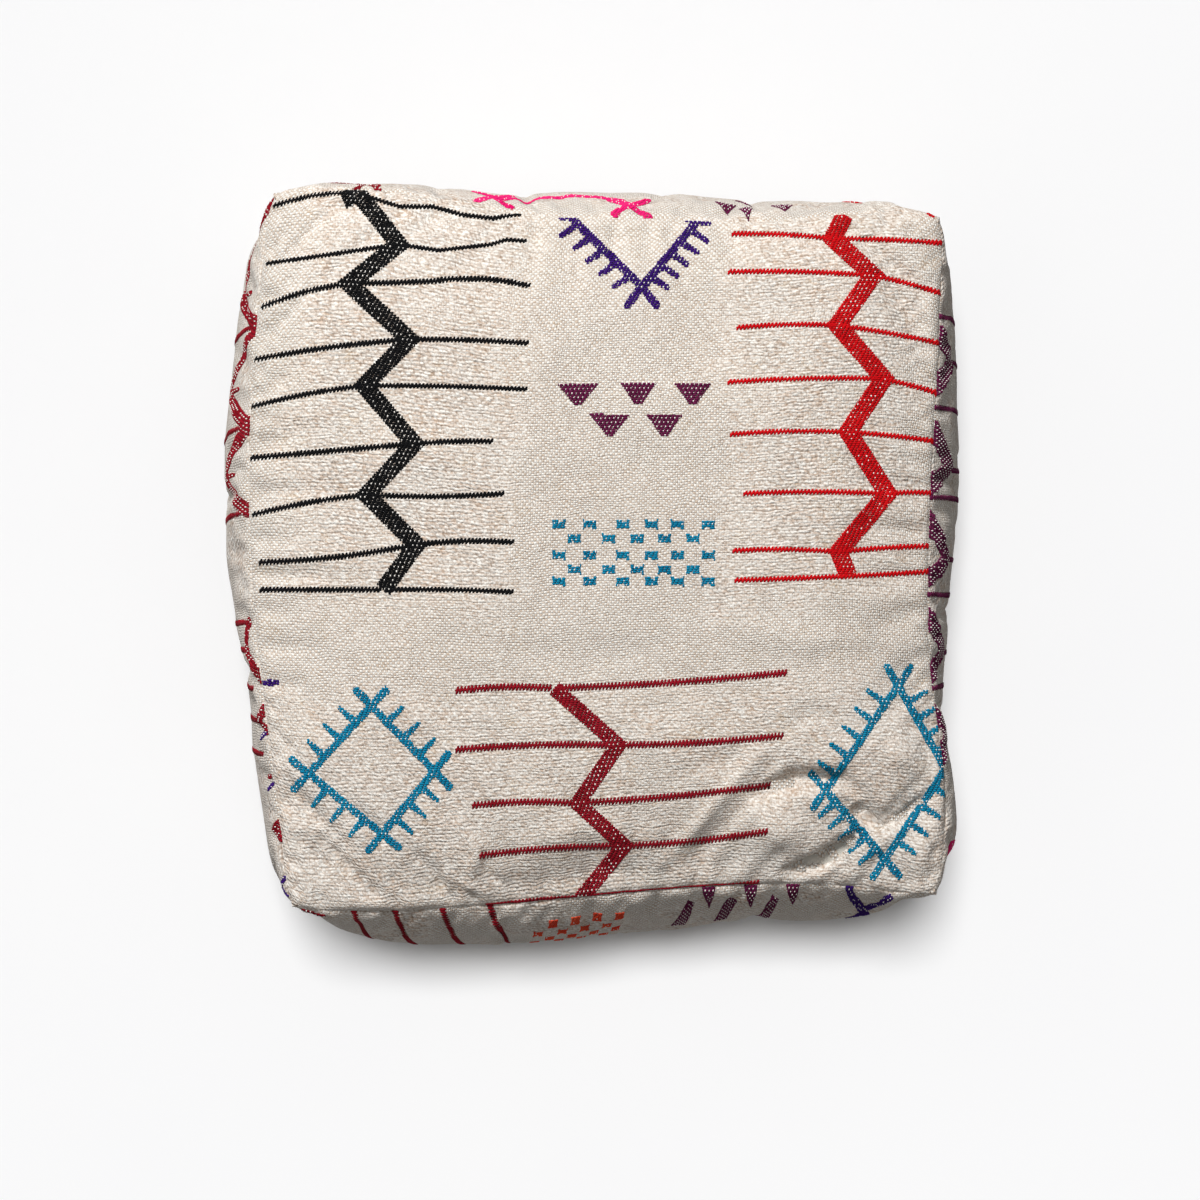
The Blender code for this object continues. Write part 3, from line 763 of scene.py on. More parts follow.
def tape_material():
    """Woven polyester zip tape: ribs along it and a herringbone across."""
    s = Shader("zip_tape")
    place = s.node("ShaderNodeTexCoord", out=3)
    x, y = (s.node("ShaderNodeSeparateXYZ", out=k, inputs={0: place}) for k in (0, 1))
    zig = s.math("PINGPONG", s.math("MULTIPLY", y, 1 / 0.0016), 0.5)
    slant = s.math("SINE", s.math("MULTIPLY", s.math("ADD", s.math("DIVIDE", x, 0.0009), zig), 2 * math.pi))
    rib = s.math("SINE", s.math("MULTIPLY", y, 2 * math.pi / 0.0016))
    weave = s.math("ADD", s.math("MULTIPLY", slant, 0.5), s.math("MULTIPLY", rib, 0.5))
    # Darker in the hollows of the ribs and the herringbone: painted shade.
    base = s.mix(s.remap(weave, -1.0, 1.0, 0.0, 1.0), colour(196, 184, 166), colour(232, 223, 207))
    normal = s.bump(weave, 0.00015, 0.8)
    return s.finish(base_color=base, roughness=0.75, specular_ior_level=0.35, sheen_weight=0.1, normal=normal)


def coil_material():
    """Slightly milky nylon."""
    s = Shader("zip_coil")
    place = s.node("ShaderNodeTexCoord", out=3)
    cloudy = s.noise(place, 90.0, 2.0)
    base = s.mix(cloudy, colour(205, 194, 174), colour(231, 223, 207))
    normal = s.bump(s.noise(place, 2500.0, 1.0), 0.00004, 0.6)
    rough = s.remap(cloudy, 0.3, 0.7, 0.28, 0.42)
    return s.finish(base_color=base, roughness=rough, specular_ior_level=0.5, normal=normal)


def metal_material():
    """Tumbled nickel, a little scratched and dulled where it is handled."""
    s = Shader("zip_metal")
    place = s.node("ShaderNodeTexCoord", out=3)
    scratches = s.noise(s.scaled(place, 300.0, 4000.0, 4000.0), 1.0, 3.0)
    dull = s.noise(place, 320.0, 3.0)
    base = s.mix(s.remap(dull, 0.4, 0.7, 0.0, 0.7), colour(206, 203, 196), colour(150, 146, 138))
    rough = s.math("ADD", s.remap(dull, 0.3, 0.7, 0.24, 0.42), s.math("MULTIPLY", scratches, 0.08))
    normal = s.bump(scratches, 0.00003, 0.5)
    return s.finish(base_color=base, metallic=1.0, roughness=rough, normal=normal)


def fibre_material():
    """Matted polyester fibre."""
    s = Shader("fibre")
    place = s.node("ShaderNodeTexCoord", out=3)
    tangle = s.noise(place, 120.0, 6.0)
    fine = s.noise(place, 900.0, 3.0)
    # Darker where the tangle lies low: painted shade.
    base = s.mix(tangle, colour(228, 226, 220), colour(250, 250, 247))
    normal = s.bump(s.math("ADD", tangle, s.math("MULTIPLY", fine, 0.3)), 0.002, 0.9)
    return s.finish(base_color=base, roughness=0.95, specular_ior_level=0.15, sheen_weight=0.4, normal=normal)


# ---------------------------------------------------------------- motifs


class Stroke:
    """A stitched line through points in millimetres, its width changing evenly from one end to the other."""

    def __init__(self, points, width, end_width=None):
        self.points = np.array(points, float)
        self.width, self.end_width = width, width if end_width is None else end_width
        reach = max(self.width, self.end_width) / 2 + 2
        self.low, self.high = self.points.min(axis=0) - reach, self.points.max(axis=0) + reach

    def holds(self, x, y, uneven):
        distance, place = along_line(x, y, self.points)
        width = self.width + (self.end_width - self.width) * place
        return distance < width * (0.5 + 0.09 * uneven)


class Patch:
    """A stitched area inside an outline in millimetres."""

    def __init__(self, outline):
        self.points = np.array(outline, float)
        self.low, self.high = self.points.min(axis=0) - 1, self.points.max(axis=0) + 1

    def holds(self, x, y, uneven):
        inside = np.zeros(np.shape(x), bool)
        for (ax, ay), (bx, by) in zip(self.points, np.roll(self.points, -1, axis=0)):
            crosses = (ay > y) != (by > y)
            with np.errstate(divide="ignore", invalid="ignore"):
                inside ^= crosses & (x < ax + (y - ay) * (bx - ax) / (by - ay))
        return inside


class Rope:
    """A thin line of slanted stitches that overlap, through points in millimetres."""

    def __init__(self, points, width):
        self.points, self.width = np.array(points, float), width

    def ends(self):
        """Both ends of each stitch."""
        tilt, apart = THIN_ROPE if self.width < ROPE_WIDE else WIDE_ROPE
        long = self.width / math.sin(tilt)
        steps = np.diff(self.points, axis=0)
        lengths = np.hypot(*steps.T)
        reached = np.concatenate([[0], np.cumsum(lengths)])
        middles = np.arange(long / 2, reached[-1], apart)
        place = [np.interp(middles, reached, self.points[:, k]) for k in (0, 1)]
        part = np.clip(np.searchsorted(reached, middles, side="right") - 1, 0, len(steps) - 1)
        angle = np.arctan2(steps[part, 1], steps[part, 0])
        angle = np.where(np.cos(angle) < 0, angle + math.pi, angle) + tilt
        place = np.stack(place, axis=-1)

        def stitches(turn, length):
            half = np.stack([np.cos(angle - turn), np.sin(angle - turn)], axis=-1) * length / 2
            return np.concatenate([place - half, place + half], axis=-1)

        return np.concatenate([stitches(tilt, apart + ROPE_OVERLAP), stitches(0, long)])


def on_cloth(places, where, reach, turns=4):
    """The places on the cloth, up to a reach from its middle, that where turns into the places given."""
    x, y = places[..., 0].copy(), places[..., 1].copy()
    for _ in range(turns):
        px, py = where(x, y)
        x = np.clip(x + places[..., 0] - px, -reach[0], reach[0])
        y = np.clip(y + places[..., 1] - py, -reach[1], reach[1])
    return np.stack([x, y], axis=-1)


ROPE_WIDE = 5.6  # from this width on, a rope's stitches stand steeper
THIN_ROPE, WIDE_ROPE = (0.95, 3.1), (1.15, 3.0)  # slant in radians, and from one stitch to the next
ROPE_OVERLAP = 0.8  # of the stitches that lie along it
SHORTEST = 0.8  # a row's shortest stretch of yarn
CUT_MARGIN = 0.9  # from the end of a stretch to its nearest cut
SHORTEST_ROPE = 1.2  # of a rope's stitches
PANEL_MARGIN = 1.2  # from the seam to the nearest stitch
STITCH = 3.6  # along a row, in millimetres
ROW = 1.8  # from one row of stitches to the next
SAMPLE = 0.45  # how finely a row is tested against the motifs


def stitch_rows(cloth, shapes, where, seed):
    """The ends of the shapes' stitches, an array of (x, y, x, y), and the binding threads' places.

    where turns places on the cloth into the places that the shapes are given in.
    """
    uneven_noise = Noise(seed)
    ropes = [shape for shape in shapes if isinstance(shape, Rope)]
    shapes = [shape for shape in shapes if not isinstance(shape, Rope)]
    half_w, half_h = cloth.width / MM / 2 - PANEL_MARGIN, cloth.height / MM / 2 - PANEL_MARGIN
    x = np.arange(-half_w, half_w, SAMPLE)
    y = np.arange(-math.floor(half_h / ROW) * ROW, half_h, ROW)
    gx, gy = np.meshgrid(x, y)
    px, py = where(gx, gy)
    uneven = uneven_noise(gx / 4.0, gy / 3.0)
    inside = np.zeros(gx.shape, bool)
    for shape in shapes:
        box = (px > shape.low[0]) & (px < shape.high[0]) & (py > shape.low[1]) & (py < shape.high[1])
        if box.any():
            inside[box] |= shape.holds(px[box], py[box], uneven[box])
    stitches, binders = [], []
    for j in range(len(y)):
        change = np.flatnonzero(np.diff(np.concatenate([[0], inside[j].astype(int), [0]])))
        row = round(y[j] / ROW)
        shift = STITCH / 4 * (row % 4)
        for first, last in change.reshape(-1, 2):
            start, end = x[0] + first * SAMPLE, x[0] + last * SAMPLE
            if end - start < SHORTEST:
                continue
            k = math.ceil((start + CUT_MARGIN - shift) / STITCH)
            cuts = [start]
            while k * STITCH + shift < end - CUT_MARGIN:
                cuts.append(k * STITCH + shift)
                if row % 2 == 0:
                    binders.append((k * STITCH + shift, y[j]))
                k += 1
            cuts.append(end)
            stitches += [(a, y[j], b, y[j]) for a, b in zip(cuts[:-1], cuts[1:])]
    stitches = np.array(stitches).reshape(-1, 4)
    for rope in ropes:
        ends = on_cloth(rope.ends().reshape(-1, 2, 2), where, (half_w, half_h)).reshape(-1, 4)
        long = np.hypot(ends[:, 2] - ends[:, 0], ends[:, 3] - ends[:, 1])
        stitches = np.concatenate([stitches, ends[long > SHORTEST_ROPE]])
    return stitches, np.array(binders).reshape(-1, 2)


STITCH_ACROSS = (0.0, 0.2, 0.5, 0.8, 1.0)
STITCH_RISE = (0.38, 0.66, 0.74, 0.66, 0.38)  # along the middle of a stitch, in millimetres
STITCH_EDGE = (-0.30, 0.14, 0.24, 0.14, -0.30)  # along its sides, beside the next row
STITCH_WIDE = (0.94, 1.04, 1.08, 1.04, 0.94)  # half widths


def cells(count):
    """The lower left corner and the size of each of count square cells that fill a unit square."""
    side = math.ceil(math.sqrt(count))
    k = np.arange(count)
    return np.stack([(k % side) / side, (k // side) / side], axis=-1), 1 / side


def repeated(name, places, template_faces, template_map):
    """Copies of a small form, places being copies by points by 3, each with its own cell of the UV map."""
    copies, size = places.shape[:2]
    start = np.arange(copies)[:, None] * size
    points = places.reshape(-1, 3)
    faces, maps = [], []
    corner, cell = cells(copies)
    for face in template_faces:
        faces.append(start + np.array(face)[None, :])
    every = [list(f) for group in faces for f in group.tolist()]
    piece = mesh_object(name, points, every)
    mesh = piece.data
    layer = mesh.uv_layers.new(name="OFBake")
    for face, own in zip(template_faces, template_map):
        maps.append((corner[:, None, :] + np.array(own)[None] * cell).reshape(-1, 2))
    uv = np.concatenate(maps)
    if len(uv) == len(mesh.loops):
        layer.uv.foreach_set("vector", uv.astype(np.float32).ravel())
    return piece


def stitch_template():
    """Faces of one stitch, and where each lies in its cell of the UV map."""
    n = len(STITCH_ACROSS)
    number = np.arange(3 * n).reshape(3, n)
    faces = grid_quads(number).tolist()
    spots = {
        int(number[j, i]): (0.08 + 0.84 * i / (n - 1), 0.30 + 0.30 * j)
        for j in range(3)
        for i in range(n)
    }
    maps = [[spots[k] for k in f] for f in faces]
    under = ring(number)[::-1].tolist()
    faces.append(under)
    maps.append([(spots[k][0], 0.05 + (spots[k][1] - 0.30) * 0.33) for k in under])
    return faces, maps


def stitches_object(name, cloth, stitches, seed, wide=1.0, rise=1.0):
    """Plump stitches of yarn on the cloth's face, their width and height times those of the embroidery."""
    ax, ay, bx, by = (stitches[:, k : k + 1] for k in range(4))
    long = np.hypot(bx - ax, by - ay)
    n = len(STITCH_ACROSS)
    across = np.tile(STITCH_ACROSS, 3)[None, :]
    side = np.repeat([-1.0, 0.0, 1.0], n)[None, :]
    wide = wide * np.tile(STITCH_WIDE, 3)[None, :]
    rise = rise * np.concatenate([STITCH_EDGE, STITCH_RISE, STITCH_EDGE])[None, :]
    random = np.random.default_rng(seed)
    lean = random.normal(0, 0.10, (len(stitches), 1))
    fat = 1 + random.normal(0, 0.10, (len(stitches), 1))
    short = np.clip(long / 2.0, 0.45, 1.0)
    offset = (side * wide * np.clip(fat, 0.8, 1.25) + lean * (across - 0.5) * 2) / long
    x = ax + (bx - ax) * across - (by - ay) * offset
    y = ay + (by - ay) * across + (bx - ax) * offset
    points, normals = cloth.read(x, y)
    lift = np.where(rise > 0, rise * short * fat, rise)
    faces, maps = stitch_template()
    return repeated(name, points + normals * (lift * MM)[..., None], faces, maps)


BINDER_SIDES = 6
BINDER_WIDE, BINDER_LONG = 0.60, 0.84  # half sizes across and along the warp, in millimetres


def binders_object(name, cloth, places, seed):
    """The cream warp threads that show as small dots where they bind the coloured rows."""
    random = np.random.default_rng(seed)
    turn = np.arange(BINDER_SIDES) * 2 * math.pi / BINDER_SIDES
    size = 1 + random.normal(0, 0.16, (len(places), 1))
    ring_x, ring_y = np.cos(turn)[None, :], np.sin(turn)[None, :]
    x = [places[:, :1] + BINDER_WIDE * size * k * ring_x for k in (1.0, 0.72)] + [places[:, :1]]
    y = [places[:, 1:] + BINDER_LONG * size * k * ring_y for k in (1.0, 0.72)] + [places[:, 1:]]
    height = np.repeat([-0.3, 0.98, 1.22], [BINDER_SIDES, BINDER_SIDES, 1])[None, :] * MM
    points, normals = cloth.read(np.concatenate(x, axis=1), np.concatenate(y, axis=1))
    n = BINDER_SIDES
    faces, maps = [], []
    for k in range(n):
        m = (k + 1) % n
        faces += [(k, m, n + m, n + k), (n + k, n + m, 2 * n)]
    faces.append(tuple(range(n))[::-1])

    def spot(k, middle):
        reach = 0.22 if k < n else 0.14
        if k == 2 * n:
            return middle, 0.5
        return middle + reach * math.cos(turn[k % n]), 0.5 + reach * math.sin(turn[k % n])

    maps = [[spot(k, 0.25) for k in f] for f in faces[:-1]] + [[spot(k, 0.75) for k in faces[-1]]]
    return repeated(name, points + normals * height[..., None], faces, maps)


def zigzag(spine, width):
    """A broad line whose turns are pointed."""
    spine = np.array(spine, float)
    along = np.diff(spine, axis=0)
    along /= np.hypot(*along.T)[:, None]
    out = np.stack([-along[:, 1], along[:, 0]], axis=-1)
    first, last = np.concatenate([out[:1], out]), np.concatenate([out, out[-1:]])
    corner = (first + last) / (1 + (first * last).sum(axis=1))[:, None] * width / 2
    return Patch(np.concatenate([spine + corner, (spine - corner)[::-1]]))


def rib(start, end, width, sag):
    """A line of stitches from the spine to a side, which hangs a little in its middle."""
    (ax, ay), (bx, by) = start, end
    t = np.linspace(0, 1, 7)
    wave = sag * np.sin(math.pi * t)
    return Rope(np.stack([ax + (bx - ax) * t, ay + (by - ay) * t + wave], axis=-1), width)


WAVY_RIBS = (  # the first ribs on the right of the black zigzag wander more than the others
    [(-163, 298), (-135, 298), (-110, 291), (-84, 288), (-61, 292)],
    [(-130, 261), (-113, 263), (-86, 266), (-73, 270), (-57, 269)],
    [(-162, 234), (-136, 235), (-119, 237), (-90, 237), (-73, 235), (-53, 231)],
)


def top_black():
    """A tall zigzag with a rib to each side at every turn."""
    turns = [(-198, 309), (-164, 266), (-206, 233), (-155, 186), (-193, 147)]
    turns += [(-151, 98), (-191, 55), (-149, 13), (-177, -25)]
    left_ends = [(-270, 298), (-274, 250), (-280, 213), (-286, 169), (-289, 129)]
    left_ends += [(-289, 86), (-288, 38), (-283, -2), (-280, -25)]
    right_ends = [(-61, 291), (-55, 270), (-55, 231), (-56, 183), (-56, 144)]
    right_ends += [(-84, 100), (-74, 56), (-66, 15), (-66, -27)]
    sags = [(-4, 2), (0, -4), (-3, 3), (-2, 1), (-2, 1), (0, 1), (-2, -2), (3, 2), (0, 1)]
    shapes = [zigzag([(-211, 303)] + turns, 14.5)]
    widths = (4.2, 3.8, 5.2, 4.8, 4.4, 5.0, 4.8, 5.2, 4.6)
    for k, (turn, width) in enumerate(zip(turns, widths)):
        shapes.append(rib(turn, left_ends[k], width + 0.4, -sags[k][0]))
        if k >= len(WAVY_RIBS):
            shapes.append(rib(turn, right_ends[k], width, sags[k][1]))
    shapes += [Rope([turn] + wavy, width) for turn, wavy, width in zip(turns, WAVY_RIBS, widths)]
    return shapes


def top_red():
    """A tall zigzag like the black one, with a rib to each side."""
    turns = [(212, 291), (202, 271), (236, 240), (206, 198), (245, 153)]
    turns += [(215, 108), (248, 56), (207, 7), (215, -13)]
    shapes = [zigzag(turns, 15.2)]
    rows = [(202, 275, 271, 267), (236, 243, 240, 224), (206, 196, 198, 182), (242, 150, 153, 139)]
    rows += [(213, 106, 108, 99), (246, 56, 56, 56), (206, 8, 7, 12)]
    starts = [118, 115, 122, 114, 116, 126, 119]
    for start, (at, left, middle, right) in zip(starts, rows):
        shapes.append(rib((at, middle), (start, left), 4.8, 1.5))
        shapes.append(rib((at, middle), (296, right), 4.8, 1.0))
    shapes.append(rib((118, -17), (296, -9), 4.8, -1.0))
    return shapes


def top_dark_red():
    turns = [(-33, -108), (21, -156), (-13, -205), (26, -241), (-11, -286)]
    shapes = [zigzag(turns, 12.8)]
    ends = [((-115, -110), (163, -95)), ((-117, -160), (162, -148)), ((-103, -207), (156, -189))]
    ends += [((-95, -249), (147, -229)), ((-89, -294), (139, -273))]
    for turn, (left, right) in zip(turns, ends):
        shapes.append(rib(turn, left, 6.4, 2.0))
        shapes.append(rib(turn, right, 6.4, -2.0))
    return shapes


def toothed_v():
    """Two lines that cross at the foot, with short teeth on their outer sides."""
    foot = (41, 230)
    arms = (((-20, 290), (53, 215)), ((87, 285), (29, 215)))
    shapes = [Stroke([a, foot, b], 7.0) for a, b in arms]
    shapes += [Stroke([(-27, 289), (-12, 291)], 5.4), Stroke([(80, 287), (97, 284)], 5.4)]
    for side, (start, _) in zip((-1, 1), arms):
        for t in (0.12 + 0.18 * k for k in range(5)):
            x, y = start[0] + (foot[0] - start[0]) * t, start[1] + (foot[1] - start[1]) * t
            shapes.append(Stroke([(x, y), (x + side * 14, y - 9)], 6.6, 4.6))
    return shapes


def top_indigo():
    return toothed_v() + [Stroke([(-284, -104), (-267, -103)], 5.2)]


def triangles():
    """Two rows of small triangles that point down."""
    rows = ((149, ((-13, 36), (38, 31), (84, 32))), (123, ((14, 35), (60, 32))))
    shapes = []
    for y, row in rows:
        for x, w in row:
            top = [(x - w / 2, y), (x + w / 2, y), (x + w / 2 - 4, y - 5)]
            shapes.append(Patch(top + [(x + 3, y - 18), (x - 3, y - 18), (x - w / 2 + 4, y - 5)]))
    return shapes


def checks(rows, size):
    """Rows of small oblong checks, each nicked at its middle."""
    w, h = size[0] / 2, size[1] / 2
    shapes = []
    for y, places in rows:
        for x in places:
            outline = [(x - w, y - h), (x - 1.5, y - h + 1.4), (x + w, y - h), (x + w - 0.8, y)]
            outline += [(x + w, y + h), (x + 1.5, y + h - 1.4), (x - w, y + h), (x - w + 0.8, y)]
            shapes.append(Patch(outline))
    return shapes


DIAMOND_WIDE, DIAMOND_TOOTH = 6.4, 15  # width of a side, and how far its teeth stand out


def toothed_side(start, end, out, teeth, past=(18, 18)):
    """One side of a diamond, run past its corners, with teeth on its outer side."""
    a, b = np.array(start, float), np.array(end, float)
    along = (b - a) / np.linalg.norm(b - a)
    shapes = [Stroke([a - along * past[0], b + along * past[1]], DIAMOND_WIDE)]
    normal = np.array([-along[1], along[0]])
    normal *= np.sign(normal @ np.array(out, float))
    for t in teeth:
        root = a + (b - a) * t
        shapes.append(Stroke([root, root + normal * (DIAMOND_TOOTH + DIAMOND_WIDE / 2)], 6.6, 3.6))
    return shapes


def top_turquoise():
    """A field of checks, and a toothed diamond near each front corner."""
    rows = [(y, (-29, -3, 25, 49, 71, 97)) for y in (30, 4, -18)]
    rows += [(y, (-16, 13, 37, 60, 84)) for y in (18, -8)]
    shapes = checks(rows, (12, 8))
    top, right, foot, left = (-187, -123), (-134, -178), (-178, -231), (-240, -180)
    three = (0.25, 0.5, 0.75)
    corners, outwards = (top, right, foot, left, top), ((1, 1), (1, -1), (-1, -1), (-1, 1))
    for a, b, out in zip(corners[:-1], corners[1:], outwards):
        shapes += toothed_side(a, b, out, three)
    top, foot, left, right = (257, -106), (246, -252), (196, -194), (297, -176)
    five, four = (0.15, 0.32, 0.49, 0.66, 0.83), (0.2, 0.4, 0.6, 0.8)
    shapes += toothed_side(left, top, (-1, 1), five)
    shapes += toothed_side(foot, left, (-1, -1), five)
    shapes += toothed_side(right, foot, (1, -1), four, past=(0, 18))
    shapes += toothed_side(top, right, (1, 1), four, past=(18, 0))
    return shapes


RIB_FOOT = -78  # how far down a side its ribs run
SEAM_EDGE = 100  # just past the top seam, on a side's cloth


def drop(x, top, foot, width=4.8, *, lean):
    """A rib that runs down a side from a turn of its zigzag."""
    return rib((x, top), (x + lean, foot), width, 1.5)


def left_side():
    """A dark red zigzag just below the seam, its upper turns cut by it, and a comb further to the front."""
    turns = [(-292, 104), (-215, 38), (-184, 98), (-136, 36), (-102, 98), (-66, 34), (-32, 98)]
    red = [zigzag(turns, 12)]
    red += [drop(x, 96, RIB_FOOT, lean=7) for x, y in turns[2::2]]
    red += [Stroke([(x, y), (x + 1, y + 36)], 5.0, 4.0) for x, y in turns[1::2]]
    red += [Stroke([(58, 84), (82, 80), (107, SEAM_EDGE)], 9)]
    red += [Stroke([(127, SEAM_EDGE), (139, 84), (148, SEAM_EDGE)], 8)]
    feet = ((58, -70), (80, -64), (112, -70), (139, -58), (166, -66))
    red += [drop(x, 84, foot, lean=-3) for x, foot in feet]
    red += [Patch([(216, SEAM_EDGE), (228, 78), (240, SEAM_EDGE)]), Stroke([(184, 90), (185, 82)], 4)]
    indigo = [Stroke([(148, 94), (152, 84)], 5), Stroke([(190, 92), (195, 82)], 4)]
    indigo += [Stroke([(266, 96), (274, 84), (281, 92)], 4)]
    return {"dark_red": red, "indigo": indigo}


def right_side():
    """A maroon zigzag half hidden by the seam, a rib from every turn, and two small marks near the front."""
    outer = ((-154, 76), (-83, 60), (-1, 62), (77, 62), (169, 64))
    inner = (-190, -113, -33, 50, 127, 205)
    turns = [(inner[0], 122)]
    for (x, y), after in zip(outer, inner[1:]):
        turns += [(x, y), (after, 122)]
    maroon = [Stroke(turns, 17)]
    maroon += [drop(x, y, RIB_FOOT, 4.4, lean=2) for x, y in outer]
    maroon += [drop(x, SEAM_EDGE, RIB_FOOT, 4.6, lean=5) for x in inner[1:]]
    pink = [Patch([(-262, 66), (-246, 70), (-246, 34), (-256, 46)])]
    indigo = [Patch([(-286, 40), (-272, 46), (-268, 74), (-280, 70)])]
    return {"maroon": maroon, "pink": pink, "indigo": indigo}


def front_side():
    """Slanted ribs, a patch of small checks, a row of notched teeth and a cross, from left to right."""
    red = [rib((x, SEAM_EDGE), (x + 26, 12), 5.4, 3.0) for x in (-236, -199, -156, -113)]
    red += [Stroke([(-280, 92), (-262, 90)], 5)]
    orange = checks([(70, (-53, -33, -13, 7)), (34, (-53, -33, -13, 7))], (9, 14))
    orange += checks([(52, (-65, -43, -23, -3)), (17, (-65, -43, -23, -3))], (9, 12))
    maroon = []
    for x in (58, 96, 134):
        maroon.append(Patch([(x, 26), (x + 13, 26), (x + 17, 76), (x + 10, 84)]))
        maroon.append(Patch([(x + 20, SEAM_EDGE), (x + 34, SEAM_EDGE), (x + 31, 62)]))
    indigo = [Stroke([(212, 94), (231, 42), (221, 22)], 7.4), Stroke([(249, 90), (231, 42), (238, 20)], 7.4)]
    return {"dark_red": red, "orange": orange, "maroon": maroon, "indigo": indigo}


def back_side():
    """An arch with a cross at each foot, small triangles and a few red marks, from right to left."""
    arch = [(94, 70), (74, 61), (46, 50), (24, 46), (2, 50), (-14, 60), (-22, 74)]
    pink = [Stroke(arch, 8.5)]
    for x, y in ((98, 70), (-22, 76)):
        pink += [Stroke([(x - 16, y - 18), (x + 14, y + 16)], 8.0)]
        pink += [Stroke([(x + 15, y - 16), (x - 15, y + 18)], 8.0)]
    maroon = [
        Patch([(x - w, y - 12), (x + w, y - 14), (x, y + 14)])
        for x, y, w in ((-107, 70, 10), (-126, 44, 8), (-124, 84, 6), (-157, 70, 10))
    ]
    red = [Stroke([(-214, 44), (-246, 46)], 6), Patch([(-252, 50), (-268, 48), (-270, 66), (-256, 70)])]
    red += [Stroke([(-284, 92), (-287, 40)], 9, 5)]
    dark = [Stroke([(280, 60), (237, 62), (199, 66)], 5.0)]
    dark += [Stroke([(218, 64), (212, 84), (220, SEAM_EDGE)], 6)]
    dark += [Stroke([(199, 66), (203, 88), (196, SEAM_EDGE)], 6)]
    return {"pink": pink, "maroon": maroon, "red": red, "dark_red": dark}


SIDE_MOTIFS = {"front": front_side, "right": right_side, "back": back_side, "left": left_side}


YARNS = {
    "black": ((6, 6, 8), (20, 20, 23)),
    "red": ((196, 0, 10), (222, 10, 20)),
    "dark_red": ((128, 6, 22), (165, 20, 40)),
    "indigo": ((44, 8, 100), (74, 30, 130)),
    "maroon": ((92, 16, 58), (122, 36, 84)),
    "turquoise": ((0, 118, 156), (20, 148, 184)),
    "pink": ((238, 8, 112), (255, 60, 140)),
    "orange": ((232, 66, 40), (250, 110, 70)),
}

DOTS = {  # how many of a yarn's stitches show the warp that binds them
    "black": 0.5,
    "red": 0.35,
    "dark_red": 0.6,
    "indigo": 0.5,
    "maroon": 0.9,
    "turquoise": 0.55,
    "pink": 0.3,
    "orange": 0.3,
}

TOP_MOTIFS = {
    "black": top_black,
    "red": top_red,
    "dark_red": top_dark_red,
    "indigo": top_indigo,
    "maroon": triangles,
    "turquoise": top_turquoise,
}


def seen_from_above(cloth):
    """Turns places on the top's cloth into places in the level of its seam, as seen from above."""

    def where(x, y):
        points, _normals = cloth.read(x, y)
        eye = np.array([CAMERA_X, CAMERA_Y])
        scale = CAMERA_HEIGHT / (CAMERA_HEIGHT + SEAM_Z - points[..., 2])
        flat = eye + (points[..., :2] - eye) * scale[..., None]
        return flat[..., 0] / MM, flat[..., 1] / MM

    return where


def embroider(cloth, motifs, where, seed):
    """The motifs of one panel, a piece for each colour, and the binding threads of them all."""
    pieces, binding = {}, []
    panel = cloth.name.replace("_cover_panel", "")
    random = np.random.default_rng(seed + 500)
    for k, (yarn, shapes) in enumerate(motifs.items()):
        stitches, binders = stitch_rows(cloth, shapes, where, seed + k)
        name = panel + "_stitches_" + yarn
        pieces[stitches_object(name, cloth, stitches, seed + 50 + k)] = yarn
        shown = DOTS[yarn] + 0.4 * Noise(seed + k + 7)(binders[:, 0] / 34, binders[:, 1] / 34)
        binding.append(binders[random.random(len(binders)) < shown])
    dots = binders_object(panel + "_binding_dots", cloth, np.concatenate(binding), seed)
    pieces[dots] = "binding"
    for piece, material in pieces.items():
        dress(piece, material)
    return list(pieces)


def binding_material():
    s = Shader("binding_cotton")
    place = s.node("ShaderNodeTexCoord", out=3)
    base = s.mix(s.noise(place, 120.0, 2.0), colour(255, 254, 250), colour(240, 232, 220))
    return s.finish(base_color=base, roughness=0.9, specular_ior_level=0.2, sheen_weight=0.2)


# ---------------------------------------------------------------- bottom, zip and insert


HEM_WIDTH = 0.013  # of the folded edge beside the zip
HEM_HALF = 0.0060  # from the middle to a hem, along the zip
HEM_CLOSED = 0.0003  # and past its ends
ZIP_ENDS = (0.2213, 0.2293)  # where the hems start to close and are closed
BOTTOM_STEPS = 200
BOTTOM_UP_STEPS = 96


def seam_half(along):
    """From the middle out to a bottom seam, at a place along that seam."""
    return BOTTOM_HALF + BOTTOM_BOW * (1 - np.clip(np.abs(along) / BOTTOM_HALF, 0, 1) ** 4)


def bottom_height(x, y):
    """How high the cover's bottom lies: on the floor, rolling up to its seams and rising to the zip."""
    near = np.minimum(seam_half(y) - np.abs(x), seam_half(x) - np.abs(y))
    roll = (BOTTOM_SEAM_Z - FLOOR_GAP) * (1 - np.clip(near / BOTTOM_ROLL, 0, 1)) ** 2
    valley = (HEM_LOW - FLOOR_GAP) * (1 - ramp(np.abs(y), HEM_HALF, VALLEY_HALF))
    return FLOOR_GAP + np.maximum(roll, valley * (1 - ramp(np.abs(x), HALF - BOTTOM_ROLL, HALF)))


